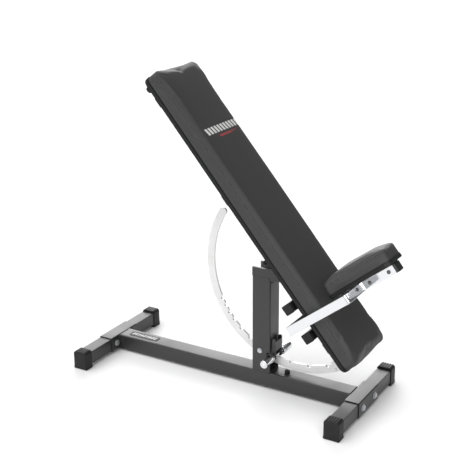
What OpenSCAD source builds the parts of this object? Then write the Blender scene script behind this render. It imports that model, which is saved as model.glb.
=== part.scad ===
// Adjustable weight bench: a long padded board on a beam that tilts on an upright post, locked by a
// notched arc and a spring latch, with a seat that slides along the board. Millimetres, +Z up.
// The frame's origin is on the floor under the middle of the whole bench; +X runs towards the seat.

/* [Base] */
// Distance between the cross legs, centre to centre
leg_pitch = 970; // [800:5:1180]
// Distance from the rear leg's centre to the post's rear face
post_back = 584; // [480:2:710]
// Width of the base over the foot caps
base_w = 458; // [380:2:600]
// Height of the main rail's underside above the floor
rail_clear = 8; // [6:1:20]
// Width of the main rail
rail_w = 64; // [52:1:80]
// Height of the main rail and of the leg sleeves
rail_h = 54; // [46:1:66]
// Width of a leg sleeve, along the rail
sleeve_w = 54; // [46:1:66]
// Length of a leg sleeve, across the rail
sleeve_len = 152; // [110:2:220]
// Wall of the rail, sleeves, legs and post
tube_wall = 3; // [2:0.5:4]
// Outside corner radius of the steel tubes
tube_round = 5; // [4:0.5:8]
// Diameter of the leg bolts
leg_bolt_d = 10; // [8:1:12]
// Distance of the leg bolts from the middle of the rail
leg_bolt_y = 47; // [36:1:50]

/* [Feet] */
// Length of a foot cap along the leg
foot_len = 37; // [28:1:50]
// How much wider a foot cap is at the floor than at its shoulder
foot_flare = 3; // [0:0.5:8]

/* [Post] */
// Depth of the post, along the rail
post_d = 68; // [56:1:84]
// Width of the post, across the rail
post_w = 66; // [62:1:84]
// Distance from the post's top edge up to the tilt pivot
post_drop = 17; // [16:0.5:24]
// Height of the tilt pivot above the floor
pivot_h = 420; // [380:1:480]
// Distance from the post's rear face forward to the tilt pivot
pivot_reach = 149; // [120:1:170]
// Diameter of the tilt pivot's bolt
pivot_d = 12.7; // [10:0.1:14]
// Gap between the rail's bumper and the arc
bumper_gap = 4; // [2:0.5:6]

/* [Pad] */
// Incline of the pad at rest, in degrees from flat
incline = 49.8; // [20:0.1:70]
// Steepest incline, in degrees from flat
incline_max = 85; // [75:1:86]
// Width of the pad
pad_w = 254; // [220:2:320]
// Thickness of the cushion
cushion_t = 48; // [30:1:70]
// Thickness of the board under the cushion
board_t = 12; // [9:1:18]
// Distance from the tilt pivot to the pad's head end
head_reach = 787; // [650:1:950]
// Distance from the tilt pivot to the pad's foot end
foot_reach = 336; // [330:1:360]
// Corner radius of the pad in plan
pad_round = 28; // [15:1:50]
// Distance from the tilt pivot up to the board's underside
pivot_drop = 15; // [15:0.5:20]
// Width of the beam under the board
beam_w = 48; // [40:1:48]
// Height of the beam under the board
beam_h = 50; // [44:1:60]
// Side of the square cross tubes
peg_side = 32; // [25:1:36]
// Distance from the pivot to the upper cross tube's centre, along the pad
peg_first = 70.5; // [66:0.5:80]
// Distance between the two cross tubes
peg_pitch = 108; // [80:1:130]
// How far each cross tube's end stands out past the pad's side
peg_proud = 4; // [2:0.5:6]

/* [Arc and latch] */
// Gap between the rail and the notched arc above it
arc_gap = 15; // [12:0.5:24]
// Width of the arc plate
arc_w = 27.5; // [24:0.5:28]
// Thickness of the arc plate
arc_t = 8; // [5:0.5:8]
// Sideways place of the arc plate's centre
arc_y = 8; // [6:0.5:8]
// How far the arc runs past its flat notch, in degrees
arc_tail = 57; // [20:1:57]
// Depth of the notches in the arc
notch_depth = 8; // [6:0.5:8]
// Diameter of the latch rod
rod_d = 12; // [10:0.5:12]
// Distance of the released rod from the post's rear face
rod_reach = 75; // [74:0.5:80]
// Diameter of the rod's grips
grip_d = 28; // [22:1:30]
// Length of a grip
grip_len = 57; // [40:1:70]
// Height of the latch lever's top above the rod
lever_rise = 66; // [50:0.5:86]

/* [Seat] */
// Distance from the tilt pivot to the seat bars' middle, along the pad
seat_place = 135; // [125:1:150]
// Angle of the seat off square to the pad, in degrees
seat_lean = 2.5; // [0:0.1:5]
// Length of the seat cushion
seat_len = 231; // [200:1:280]
// Width of the seat cushion at its rear end
seat_w = 218; // [180:2:254]
// Width of the seat cushion at its front end
seat_nose_w = 104; // [90:2:160]
// Gap between the pad's top and the seat's rear edge
seat_gap = 30; // [20:1:60]
// Thickness of the seat cushion
seat_cushion_t = 45; // [30:1:60]
// Height of the flat seat bars
bar_h = 30; // [25:1:32]
// Thickness of the flat seat bars
bar_t = 6; // [5:0.5:8]
// Distance in front of the pad at which the bars turn inwards
bar_turn = 113; // [90:1:120]

/* [Hidden] */
$fn = 64;

// Clearances
run_gap = 0.05;   // radial gap of a bolt or rod that turns in its hole
slip_gap = 0.3;   // gap of a tube that slides into another, each side
side_gap = 1;     // gap between the beam and each ear
board_gap = 1.2;  // gap between the ears' tops and the board when the pad is flat
arm_gap = 3;      // gap between a cross tube's cap and each seat arm
glide_gap = 1;    // gap between the seat's glide and the beam
stop_gap = 0.5;   // gap between the pad's stop and its plate when the pad is flat
eps = 0.5;        // how far a cutting tool runs past the face that it opens

// Base
rail_top = rail_clear + rail_h;
rail_mid = rail_clear + rail_h / 2;
rear_x = -post_back;
front_x = leg_pitch - post_back;
leg_w = sleeve_w - 2 * (tube_wall + slip_gap);
leg_h = rail_h - 2 * (tube_wall + slip_gap);
inner_round = max(tube_round - tube_wall, 1);
foot_wall = 4;
leg_half = base_w / 2 - foot_wall;
foot_side_wall = 2.5;
foot_top_wall = 8;
foot_top_w = leg_w + 2 * (slip_gap + foot_side_wall);
foot_w = foot_top_w + foot_flare;
foot_h = rail_mid + leg_h / 2 + slip_gap + foot_top_wall;
foot_shoulder = 14;
foot_chamfer = 7;
leg_bolt_hex = 1.7 * leg_bolt_d;
leg_bolt_head_h = 6.4;
leg_bolt_past = 6;
bumper_d = 18;
bumper_h = arc_gap - bumper_gap;
bumper_taper = 2;
bumper_x = pivot_reach - 32;
badge_len = 120;
badge_w = 30;
badge_t = 1;
badge_round = 5;
badge_x = rear_x + sleeve_w / 2 + 92;

// Post, ears and pivot
post_top = pivot_h - post_drop;
ear_in = beam_w / 2 + side_gap;
ear_out = post_w / 2;
ear_r = pivot_drop - board_gap;
ear_sweep = 14;
ear_heel = 10;
tongue_t = post_w / 2 - tube_wall - ear_in;
tongue_back = tube_wall + inner_round;
tongue_front = post_d - tube_wall - inner_round;
pivot_hex = 19;
pivot_head_h = 8;
thread_end = 2;
sleeve_d = 20;
sleeve_side_gap = 0.4;
arc_slot_gap = 3;
arc_slot_low = 6;
arc_slot_h = arc_w + 50;
front_slot_w = post_w - 12;
front_slot_low = rail_top + 6;
front_slot_round = 6;
window_gap = 8;
window_spare = 4;
saddle_gap = 1;
stop_depth = 72;
stop_len = 15;
stop_w = 36;
stop_front = post_d - tube_wall - 1 - pivot_reach;
stop_round = 6;
stop_plate_t = 6;
stop_plate_top = pivot_h - stop_depth - stop_gap;

// Pad
pad_len = head_reach + foot_reach;
peg_span = pad_w + 2 * peg_proud;
board_inset = 4;
beam_low = pivot_drop - beam_h;
beam_head = 42 - head_reach;
beam_foot = foot_reach - 8;
plug_t = 4;
saddle_low = pivot_h + beam_low - saddle_gap;
peg_mid = beam_low + peg_side / 2 + 4;
peg_wall = 2.5;
peg_round = 3;
peg_cap_t = 4;
peg_cap_lip = 1.5;
peg_plug_len = 14;
strap_t = 4;
strap_w = 34;
strap_places = [90 - head_reach, -322, 236];
strap_reach = pad_w / 2 - 5;
strap_bolt_y = strap_reach - 22;
strap_hole_d = 7;
board_bolt_d = 6.4;
board_bolt_hex = 13;
board_bolt_head_h = 4;
stud_d = 22;
stud_h = 12;
stud_u = 38 - head_reach;
stud_y = pad_w / 2 - 16;

// Arc and latch. Angles are about the pivot, anticlockwise from +X as seen with +Y pointing away.
arc_ro = pivot_h - rail_top - arc_gap;
arc_ri = arc_ro - arc_w;
rod_gap = 1;
seat_in_notch = 0.6;
rod_r = rod_d / 2;
released_r = arc_ri - rod_r - rod_gap;
rod_z = pivot_h - sqrt(pow(released_r, 2) - pow(pivot_reach - rod_reach, 2));
latch_x = 30;
latch_rise = 17.5;
latch_z = rod_z + latch_rise;
latch_bolt_d = 8;
latch_hex = 13;
latch_head_h = 5;
latch_nut_h = 7;
spring_wire = 2;
spring_turns = 5;
spring_bite = 0.05;
spring_side = 3;
latch_arm = norm([rod_reach - latch_x, rod_z - latch_z]);
latch_far = norm([pivot_reach - latch_x, pivot_h - latch_z]);
engaged_r = arc_ri + notch_depth - rod_r - seat_in_notch;
function latch_corner(r) =
    acos((pow(latch_far, 2) + pow(latch_arm, 2) - pow(r, 2)) / (2 * latch_far * latch_arm));
engage_angle = latch_corner(engaged_r) - latch_corner(released_r);
function polar(r, a) = [r * cos(a), r * sin(a)];
function turn_y(x, z, a) = [x * cos(a) + z * sin(a), z * cos(a) - x * sin(a)];
engaged_offset = turn_y(rod_reach - latch_x, rod_z - latch_z, engage_angle);
engaged_x = latch_x + engaged_offset[0];
engaged_z = latch_z + engaged_offset[1];
engaged_angle = atan2(engaged_z - pivot_h, engaged_x - pivot_reach);
notch_shares_low = [0, 0.1, 0.2, 0.3, 0.44, 0.6, 0.8, 1];
notch_shares_high = [0.3, 0.64, 1];
notch_inclines = concat(
    [for (share = notch_shares_low) share * incline],
    [for (share = notch_shares_high) incline + share * (incline_max - incline)]
);
notch_flare = 3;
notch_mouth = 2;
arc_facets = 180;
arc_end_d = 1.12 * arc_w;
arc_lead = 8;
arc_from = engaged_angle - arc_tail;
arc_to = engaged_angle + incline_max + arc_lead;
bracket_from = arc_to - 4.5;
bracket_t = 8;
bracket_y1 = arc_y - arc_t / 2;
bracket_y0 = bracket_y1 - bracket_t;
bracket_w = 36;
bracket_in = 8;
bracket_out = 2;
rivet_d = 9;
rivet_head = 3;
rivet_shank = 5;
rivet_spots = [polar((arc_ri + arc_ro) / 2, arc_to - 0.6), polar(arc_ri + 17, arc_to - 3)];
cheek_t = 5;
cheek_in = front_slot_w / 2 - 3 - cheek_t;
lever_top = rod_z + lever_rise;
lever_w = 14;
lever_gap = 2;
lever_x = post_d + lever_gap + lever_w / 2;
link_w = 22;
boss_d = rod_d + 12;
front_slot_top = latch_z + link_w / 2 + front_slot_round;
web_t = 3;
web_lift = 4;
grip_in = post_w / 2 + 1;
grip_edge = 2;
grip_nose = 5;
rod_half = grip_in + grip_len + 2;

// Seat, in its own frame: x forward along the bars, z up from the bars' middle
pad_top = pivot_drop + board_t + cushion_t;
arm_in = peg_span / 2 + arm_gap;
arm_out = arm_in + bar_t;
tube_side = 32;
seat_tube_wall = 2.5;
seat_tube_round = 3;
seat_plug_t = 3;
seat_bolt_d = 13;
seat_bolt_head_h = 3;
bar_in = tube_side / 2;
bend_r = 5;
bar_front = seat_gap + seat_len - 18;
cross_bar_t = 10;
beam_face = beam_low - pad_top;
glide_t = 9;
cross_front = beam_face - glide_gap - glide_t;
arm_rear = cross_front - cross_bar_t - 1;
tube_rear = bar_turn + 10;
tube_front = bar_front + 6;
seat_bolt_spots = [tube_rear + 22, bar_front - 22];
seat_board_t = 12;
seat_board_low = bar_h / 2 + 4;
seat_round = 30;
seat_board_inset = 3;
corner_blend = 0.05;
glide_w = 40;

// Whole bench: its middle along X, from the rear foot's back to the seat board's front corner
seat_tip_x = seat_gap + seat_len - seat_board_inset;
function seat_to_pad(x, z) = [
    seat_place + x * sin(seat_lean) - z * cos(seat_lean),
    pad_top + x * cos(seat_lean) + z * sin(seat_lean)
];
function pad_to_x(p) = pivot_reach + p[0] * cos(incline) + p[1] * sin(incline);
bench_back = rear_x - foot_w / 2;
bench_front = max(
    pad_to_x(seat_to_pad(seat_tip_x, seat_board_low)),
    pad_to_x(seat_to_pad(seat_gap + seat_len, seat_board_low + seat_board_t)),
    front_x + foot_w / 2
);
shift_x = -(bench_back + bench_front) / 2;

// Colours
steel_black = "#2b2b2d";
plastic_black = "#17171a";
vinyl_black = "#333438";
chrome = "#dcdde0";
arc_silver = "#e9e9ea";
board_black = "#1d1c1b";
zinc = "#b9bbbf";

// Places

module on_base() {
    translate([shift_x, 0, 0]) children();
}

module on_pad() {
    on_base() translate([pivot_reach, 0, pivot_h]) rotate([0, incline, 0]) children();
}

module on_seat() {
    on_pad() translate([seat_place, 0, pad_top]) rotate([0, seat_lean - 90, 0]) children();
}

// Shapes

module rounded_rect(length, width, radius) {
    square([length - 2 * radius, width], center = true);
    square([length, width - 2 * radius], center = true);
    for (sx = [-1, 1], sy = [-1, 1])
        translate([sx * (length / 2 - radius), sy * (width / 2 - radius)]) circle(radius);
}

module tube_section(width, height, wall, radius) {
    difference() {
        rounded_rect(width, height, radius);
        rounded_rect(width - 2 * wall, height - 2 * wall, max(radius - wall, 1));
    }
}

// Extrudes a section drawn across X along X, from x0 to x1
module along_x(x0, x1) {
    translate([x0, 0, 0]) rotate([90, 0, 90]) linear_extrude(x1 - x0) children();
}

// Extrudes a section drawn in X and Z along Y, from y0 to y1
module along_y(y0, y1) {
    translate([0, y1, 0]) rotate([90, 0, 0]) linear_extrude(y1 - y0) children();
}

module rod_y(x, z, y0, y1, d) {
    along_y(y0, y1) translate([x, z]) circle(d = d);
}

module hex_y(x, z, y0, y1, across) {
    along_y(y0, y1) translate([x, z]) circle(d = across / cos(30), $fn = 6);
}

// Base

module main_rail() {
    color(steel_black) on_base()
        translate([0, 0, rail_mid])
        along_x(rear_x + sleeve_w / 2, front_x - sleeve_w / 2)
        tube_section(rail_w, rail_h, tube_wall, tube_round);
}

module leg_sleeve(x) {
    color(steel_black) on_base() translate([x, 0, rail_mid]) difference() {
        along_y(-sleeve_len / 2, sleeve_len / 2)
            tube_section(sleeve_w, rail_h, tube_wall, tube_round);
        for (side = [-1, 1])
            translate([0, side * leg_bolt_y, 0])
            rotate([0, 90, 0])
            cylinder(h = sleeve_w / 2 + eps, d = leg_bolt_d + 2 * slip_gap);
    }
}

module rear_sleeve() {
    leg_sleeve(rear_x);
}

module front_sleeve() {
    leg_sleeve(front_x);
}

module cross_leg(x) {
    color(steel_black) on_base() translate([x, 0, rail_mid]) difference() {
        along_y(-leg_half, leg_half)
            tube_section(leg_w, leg_h, tube_wall, tube_round - tube_wall);
        for (side = [-1, 1])
            translate([0, side * leg_bolt_y, 0])
            rotate([0, 90, 0])
            cylinder(h = sleeve_w, d = leg_bolt_d + 2 * slip_gap);
    }
}

module rear_leg() {
    cross_leg(rear_x);
}

module front_leg() {
    cross_leg(front_x);
}

module foot_section() {
    polygon([
        [-foot_w / 2, 0],
        [foot_w / 2, 0],
        [foot_top_w / 2, foot_shoulder],
        [foot_top_w / 2, foot_h - foot_chamfer],
        [foot_top_w / 2 - foot_chamfer, foot_h],
        [foot_chamfer - foot_top_w / 2, foot_h],
        [-foot_top_w / 2, foot_h - foot_chamfer],
        [-foot_top_w / 2, foot_shoulder]
    ]);
}

module foot_cap(x, side) {
    color(plastic_black) on_base() translate([x, 0, 0]) mirror([0, side > 0 ? 0 : 1, 0]) difference() {
        along_y(base_w / 2 - foot_len, base_w / 2) foot_section();
        translate([0, 0, rail_mid])
            along_y(base_w / 2 - foot_len - eps, leg_half)
            square([leg_w + 2 * slip_gap, leg_h + 2 * slip_gap], center = true);
    }
}

module rear_right_foot() {
    foot_cap(rear_x, -1);
}

module rear_left_foot() {
    foot_cap(rear_x, 1);
}

module front_right_foot() {
    foot_cap(front_x, -1);
}

module front_left_foot() {
    foot_cap(front_x, 1);
}

module leg_bolts() {
    color(zinc) on_base()
        for (x = [rear_x, front_x], side = [-1, 1])
            translate([x, side * leg_bolt_y, rail_mid]) rotate([0, 90, 0]) {
                translate([0, 0, leg_w / 2 - tube_wall - leg_bolt_past])
                    cylinder(h = (sleeve_w - leg_w) / 2 + tube_wall + leg_bolt_past, d = leg_bolt_d);
                translate([0, 0, sleeve_w / 2])
                    cylinder(h = leg_bolt_head_h, d = leg_bolt_hex / cos(30), $fn = 6);
            }
}

module badge_plate() {
    color(zinc) on_base()
        translate([badge_x, 0, rail_top])
        linear_extrude(badge_t)
        rounded_rect(badge_len, badge_w, badge_round);
}

module rail_bumper() {
    color(plastic_black) on_base()
        translate([bumper_x, 0, rail_top])
        rotate_extrude()
        polygon([
            [0, 0],
            [bumper_d / 2, 0],
            [bumper_d / 2 - bumper_taper, bumper_h - bumper_taper],
            [bumper_d / 2 - 2 * bumper_taper, bumper_h],
            [0, bumper_h]
        ]);
}

// Post

module upright_post() {
    color(steel_black) on_base() difference() {
        translate([post_d / 2, 0, rail_top])
            linear_extrude(post_top - rail_top)
            tube_section(post_d, post_w, tube_wall, tube_round);
        // saddle for the beam, between the ears
        translate([-eps, -ear_in, saddle_low])
            cube([post_d + 2 * eps, 2 * ear_in, post_top]);
        // slot for the arc in the rear wall
        translate([-eps, arc_y - arc_t / 2 - arc_slot_gap, pivot_h - arc_ro - arc_slot_low])
            cube([tube_wall + 2 * eps, arc_t + 2 * arc_slot_gap, arc_slot_h]);
        // slot with round corners in the front wall, for the arc and the latch
        translate([0, 0, (front_slot_low + front_slot_top) / 2])
            along_x(post_d - tube_wall - eps, post_d + eps)
            rounded_rect(front_slot_w, front_slot_top - front_slot_low, front_slot_round);
        // open windows for the rod in both side walls
        translate([rod_reach - rod_d - window_gap, -post_w / 2 - eps, engaged_z - rod_d])
            cube([post_d, post_w + 2 * eps, rod_z - engaged_z + 2 * rod_d + window_spare]);
        rod_y(latch_x, latch_z, -post_w, post_w, latch_bolt_d + 2 * run_gap);
    }
}

module post_stop_plate() {
    color(steel_black) on_base()
        translate([post_d / 2, 0, stop_plate_top - stop_plate_t])
        linear_extrude(stop_plate_t)
        rounded_rect(post_d - 2 * tube_wall, post_w - 2 * tube_wall, inner_round + eps);
}

module ear_section() {
    difference() {
        union() {
            translate([pivot_reach, pivot_h]) circle(ear_r);
            translate([0, post_top]) square([post_d, pivot_h + ear_r - post_top]);
            polygon([
                [post_d - eps, pivot_h + ear_r],
                [pivot_reach, pivot_h + ear_r],
                [pivot_reach + ear_r * sin(ear_sweep), pivot_h - ear_r * cos(ear_sweep)],
                [post_d, post_top - ear_heel],
                [post_d, post_top],
                [post_d - eps, post_top]
            ]);
        }
        translate([pivot_reach, pivot_h]) circle(d = pivot_d + 2 * run_gap);
    }
}

module ear(side) {
    color(steel_black) on_base() mirror([0, side > 0 ? 0 : 1, 0]) {
        along_y(ear_in, ear_out) ear_section();
        along_y(ear_in, ear_in + tongue_t)
            translate([tongue_back, stop_plate_top])
            square([tongue_front - tongue_back, post_top - stop_plate_top]);
    }
}

module right_ear() {
    ear(-1);
}

module left_ear() {
    ear(1);
}

module pivot_bolt() {
    color(zinc) on_base() {
        rod_y(pivot_reach, pivot_h, -ear_out, ear_out + pivot_head_h + thread_end, pivot_d);
        hex_y(pivot_reach, pivot_h, -ear_out - pivot_head_h, -ear_out, pivot_hex);
    }
}

module pivot_nut() {
    color(zinc) on_base() difference() {
        hex_y(pivot_reach, pivot_h, ear_out, ear_out + pivot_head_h, pivot_hex);
        rod_y(pivot_reach, pivot_h, 0, post_w, pivot_d + 2 * run_gap);
    }
}

module latch_bolt() {
    color(zinc) on_base() {
        rod_y(latch_x, latch_z, -post_w / 2, post_w / 2 + latch_nut_h + thread_end, latch_bolt_d);
        hex_y(latch_x, latch_z, -post_w / 2 - latch_head_h, -post_w / 2, latch_hex);
    }
}

module latch_nut() {
    color(zinc) on_base() difference() {
        hex_y(latch_x, latch_z, post_w / 2, post_w / 2 + latch_nut_h, latch_hex);
        rod_y(latch_x, latch_z, 0, post_w, latch_bolt_d + 2 * run_gap);
    }
}

module latch_spring() {
    color(zinc) on_base() translate([latch_x, -cheek_in + spring_side, latch_z])
        for (turn = [0 : spring_turns - 1])
            translate([0, turn * (spring_wire - spring_bite), 0])
            rotate([90, 0, 0])
            rotate_extrude()
            translate([latch_bolt_d / 2 + spring_wire, 0])
            circle(d = spring_wire, $fn = 24);
}

// Pad

module pad_beam() {
    color(steel_black) on_pad() difference() {
        translate([0, 0, beam_low + beam_h / 2])
            along_x(beam_head, beam_foot)
            tube_section(beam_w, beam_h, tube_wall, tube_round);
        rod_y(0, 0, -beam_w, beam_w, sleeve_d);
        for (i = [0, 1])
            translate([peg_first + i * peg_pitch, 0, peg_mid])
            cube([peg_side, 2 * beam_w, peg_side], center = true);
    }
}

module beam_plugs() {
    color(plastic_black) on_pad()
        for (x0 = [beam_head - plug_t, beam_foot])
            translate([0, 0, beam_low + beam_h / 2])
            along_x(x0, x0 + plug_t)
            rounded_rect(beam_w, beam_h, tube_round);
}

module pivot_sleeve() {
    half = ear_in - sleeve_side_gap;
    color(steel_black) on_pad() difference() {
        rod_y(0, 0, -half, half, sleeve_d);
        rod_y(0, 0, -half - eps, half + eps, pivot_d + 2 * run_gap);
    }
}

module cross_tube(i) {
    half = peg_span / 2 - peg_cap_t;
    color(steel_black) on_pad()
        translate([peg_first + i * peg_pitch, 0, peg_mid])
        along_y(-half, half)
        tube_section(peg_side, peg_side, peg_wall, peg_round);
}

module upper_cross_tube() {
    cross_tube(0);
}

module lower_cross_tube() {
    cross_tube(1);
}

module cross_tube_caps() {
    half = peg_span / 2;
    bore = peg_side - 2 * peg_wall - 2 * slip_gap;
    color(plastic_black) on_pad()
        for (i = [0, 1], side = [-1, 1])
            translate([peg_first + i * peg_pitch, 0, peg_mid])
            mirror([0, side > 0 ? 0 : 1, 0]) {
                along_y(half - peg_cap_t, half)
                    rounded_rect(peg_side + peg_cap_lip, peg_side + peg_cap_lip, peg_round);
                along_y(half - peg_cap_t - peg_plug_len, half - peg_cap_t)
                    square([bore, bore], center = true);
            }
}

module strap_pair(u) {
    color(steel_black) on_pad()
        for (side = [-1, 1])
            mirror([0, side > 0 ? 0 : 1, 0]) difference() {
                translate([u - strap_w / 2, beam_w / 2, pivot_drop - strap_t])
                    cube([strap_w, strap_reach - beam_w / 2, strap_t]);
                translate([u, strap_bolt_y, 0]) cylinder(h = pivot_drop + eps, d = strap_hole_d);
            }
}

module head_straps() {
    strap_pair(strap_places[0]);
}

module middle_straps() {
    strap_pair(strap_places[1]);
}

module foot_straps() {
    strap_pair(strap_places[2]);
}

module board_bolts() {
    color(zinc) on_pad()
        for (u = strap_places, side = [-1, 1])
            translate([u, side * strap_bolt_y, pivot_drop - strap_t]) {
                translate([0, 0, -board_bolt_head_h])
                    cylinder(h = board_bolt_head_h, d = board_bolt_hex / cos(30), $fn = 6);
                cylinder(h = strap_t, d = board_bolt_d);
            }
}

module head_studs() {
    color(plastic_black) on_pad()
        for (side = [-1, 1])
            translate([stud_u, side * stud_y, pivot_drop - stud_h])
            cylinder(h = stud_h, d = stud_d);
}

module pad_stop() {
    color(plastic_black) on_pad()
        along_y(-stop_w / 2, stop_w / 2)
        translate([stop_front - stop_len / 2, (beam_low - stop_depth) / 2])
        rounded_rect(stop_len, beam_low + stop_depth, stop_round);
}

module notch(a) {
    half = rod_r + seat_in_notch;
    rotate(a) {
        translate([engaged_r, 0]) circle(half);
        polygon([
            [engaged_r, -half], [engaged_r, half],
            [arc_ri - notch_mouth, half + notch_flare], [arc_ri - notch_mouth, -half - notch_flare]
        ]);
    }
}

module sector(r, a0, a1) {
    steps = 12;
    polygon(concat([[0, 0]], [for (i = [0 : steps]) polar(2 * r, a0 + (a1 - a0) * i / steps)]));
}

module arc_section() {
    arc_mid = (arc_ri + arc_ro) / 2;
    difference() {
        intersection() {
            difference() {
                circle(arc_ro, $fn = arc_facets);
                circle(arc_ri, $fn = arc_facets);
            }
            union() {
                sector(arc_ro, arc_from, arc_to);
                for (a = [arc_from, arc_to])
                    translate(polar(arc_mid, a)) circle(d = arc_end_d);
            }
        }
        for (lean = notch_inclines) notch(engaged_angle + lean);
    }
}

module arc_plate() {
    color(arc_silver) on_pad() along_y(arc_y - arc_t / 2, arc_y + arc_t / 2) arc_section();
}

module arc_bracket() {
    color(arc_silver) on_pad() difference() {
        along_y(bracket_y0, bracket_y1) polygon([
            [beam_foot - bracket_w, beam_low],
            polar(arc_ri - bracket_in, bracket_from),
            polar(arc_ro - bracket_out, bracket_from),
            polar(arc_ro - bracket_out, arc_to),
            [beam_foot, beam_low]
        ]);
        for (spot = rivet_spots)
            rod_y(spot[0], spot[1], bracket_y0 - eps, bracket_y1 + eps, rivet_shank);
    }
}

module arc_rivets() {
    color(zinc) on_pad() for (spot = rivet_spots) {
        rod_y(spot[0], spot[1], bracket_y0 - rivet_head, bracket_y0, rivet_d);
        rod_y(spot[0], spot[1], bracket_y0, bracket_y1, rivet_shank);
    }
}

module pad_outline(thick, inset, radius) {
    translate([(foot_reach - head_reach) / 2, 0, 0])
        linear_extrude(thick)
        rounded_rect(pad_len - 2 * inset, pad_w - 2 * inset, radius);
}

module pad_board() {
    color(board_black) on_pad()
        translate([0, 0, pivot_drop])
        pad_outline(board_t, board_inset, pad_round - board_inset);
}

module pad_cushion() {
    color(vinyl_black) on_pad()
        translate([0, 0, pivot_drop + board_t])
        pad_outline(cushion_t, 0, pad_round);
}

// Latch

module cheek_section() {
    run = lever_x - latch_x;
    difference() {
        union() {
            translate([latch_x, latch_z]) circle(d = link_w);
            translate([latch_x, latch_z - link_w / 2]) square([run, link_w]);
            translate([rod_reach, rod_z]) circle(d = boss_d);
            translate([lever_x - lever_w / 2, rod_z])
                square([lever_w, lever_top - lever_w / 2 - rod_z]);
            translate([lever_x, lever_top - lever_w / 2]) circle(d = lever_w);
        }
        translate([latch_x, latch_z]) circle(d = latch_bolt_d + 2 * run_gap);
        translate([rod_reach, rod_z]) circle(d = rod_d + 2 * run_gap);
    }
}

module right_latch_cheek() {
    color(steel_black) on_base() along_y(-cheek_in - cheek_t, -cheek_in) cheek_section();
}

module left_latch_cheek() {
    color(steel_black) on_base() along_y(cheek_in, cheek_in + cheek_t) cheek_section();
}

module latch_web() {
    color(steel_black) on_base()
        translate([lever_x + lever_w / 2 - web_t, -cheek_in, latch_z + web_lift])
        cube([web_t, 2 * cheek_in, lever_top - lever_w - latch_z]);
}

module latch_rod() {
    color(chrome) on_base() rod_y(rod_reach, rod_z, -rod_half, rod_half, rod_d);
}

module grip(side) {
    color(chrome) on_base() mirror([0, side > 0 ? 0 : 1, 0]) difference() {
        translate([rod_reach, grip_in, rod_z])
            rotate([-90, 0, 0])
            rotate_extrude()
            polygon([
                [0, 0], [grip_d / 2 - grip_edge, 0], [grip_d / 2, grip_edge],
                [grip_d / 2, grip_len - grip_nose], [grip_d / 2 - grip_nose, grip_len], [0, grip_len]
            ]);
        rod_y(rod_reach, rod_z, 0, 2 * rod_half, rod_d + 2 * run_gap);
    }
}

module right_grip() {
    grip(-1);
}

module left_grip() {
    grip(1);
}

// Seat

module quarter_bend(sx, sy) {
    intersection() {
        difference() {
            circle(bend_r + bar_t);
            circle(bend_r);
        }
        scale([sx, sy]) square(bend_r + bar_t + eps);
    }
}

// Plan of one seat bar, on the +Y side: side arm, turn inwards, then the forward arm
module bar_plan() {
    outer = bend_r + bar_t;
    translate([arm_rear, arm_in]) square([bar_turn - outer + bar_t - arm_rear, bar_t]);
    translate([bar_turn + bar_t - outer, arm_out - outer]) quarter_bend(1, 1);
    translate([bar_turn, bar_in + outer])
        square([bar_t, arm_out - bar_in - 2 * outer]);
    translate([bar_turn + outer, bar_in + outer]) quarter_bend(-1, -1);
    translate([bar_turn + outer, bar_in]) square([bar_front - bar_turn - outer, bar_t]);
}

module seat_bar(side) {
    color(chrome) on_seat() mirror([0, side > 0 ? 0 : 1, 0])
        translate([0, 0, -bar_h / 2])
        linear_extrude(bar_h)
        bar_plan();
}

module right_seat_bar() {
    seat_bar(-1);
}

module left_seat_bar() {
    seat_bar(1);
}

module seat_cross_bar() {
    color(steel_black) on_seat()
        translate([cross_front - cross_bar_t, -arm_in, -bar_h / 2])
        cube([cross_bar_t, 2 * arm_in, bar_h]);
}

module seat_glide() {
    color(plastic_black) on_seat()
        translate([cross_front, -glide_w / 2, -bar_h / 2])
        cube([glide_t - bar_h / 2 * sin(seat_lean), glide_w, bar_h]);
}

module seat_tube() {
    color(steel_black) on_seat()
        along_x(tube_rear, tube_front)
        tube_section(tube_side, bar_h, seat_tube_wall, seat_tube_round);
}

module seat_tube_plug() {
    color(plastic_black) on_seat()
        along_x(tube_front, tube_front + seat_plug_t)
        rounded_rect(tube_side, bar_h, seat_tube_round);
}

module seat_bolts() {
    reach = bar_in + bar_t;
    color(zinc) on_seat() for (x = seat_bolt_spots, side = [-1, 1])
        mirror([0, side > 0 ? 0 : 1, 0])
        rod_y(x, 0, reach, reach + seat_bolt_head_h, seat_bolt_d);
}

// Plan of the seat: straight sides that run in towards the front, with round corners
module seat_plan(inset) {
    taper = atan((seat_w - seat_nose_w) / 2 / seat_len);
    reach = seat_round - inset;
    core = reach - corner_blend;
    rear = seat_gap + seat_round;
    nose = seat_gap + seat_len - seat_round;
    rear_y = seat_w / 2 - seat_round * tan(taper) - seat_round / cos(taper);
    nose_y = rear_y - (nose - rear) * tan(taper);
    for (side = [-1, 1]) {
        translate([rear, side * rear_y]) circle(reach);
        translate([nose, side * nose_y]) circle(reach);
    }
    polygon([
        [rear - core, -rear_y],
        [rear + core * sin(taper), -rear_y - core * cos(taper)],
        [nose + core * sin(taper), -nose_y - core * cos(taper)],
        [nose + core, -nose_y],
        [nose + core, nose_y],
        [nose + core * sin(taper), nose_y + core * cos(taper)],
        [rear + core * sin(taper), rear_y + core * cos(taper)],
        [rear - core, rear_y]
    ]);
}

module seat_outline(thick, inset) {
    linear_extrude(thick) seat_plan(inset);
}

module seat_board() {
    color(board_black) on_seat() {
        translate([0, 0, seat_board_low]) seat_outline(seat_board_t, seat_board_inset);
        translate([tube_rear, -tube_side / 2, bar_h / 2])
            cube([tube_front - tube_rear, tube_side, seat_board_low - bar_h / 2]);
    }
}

module seat_cushion() {
    color(vinyl_black) on_seat()
        translate([0, 0, seat_board_low + seat_board_t])
        seat_outline(seat_cushion_t, 0);
}

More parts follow.
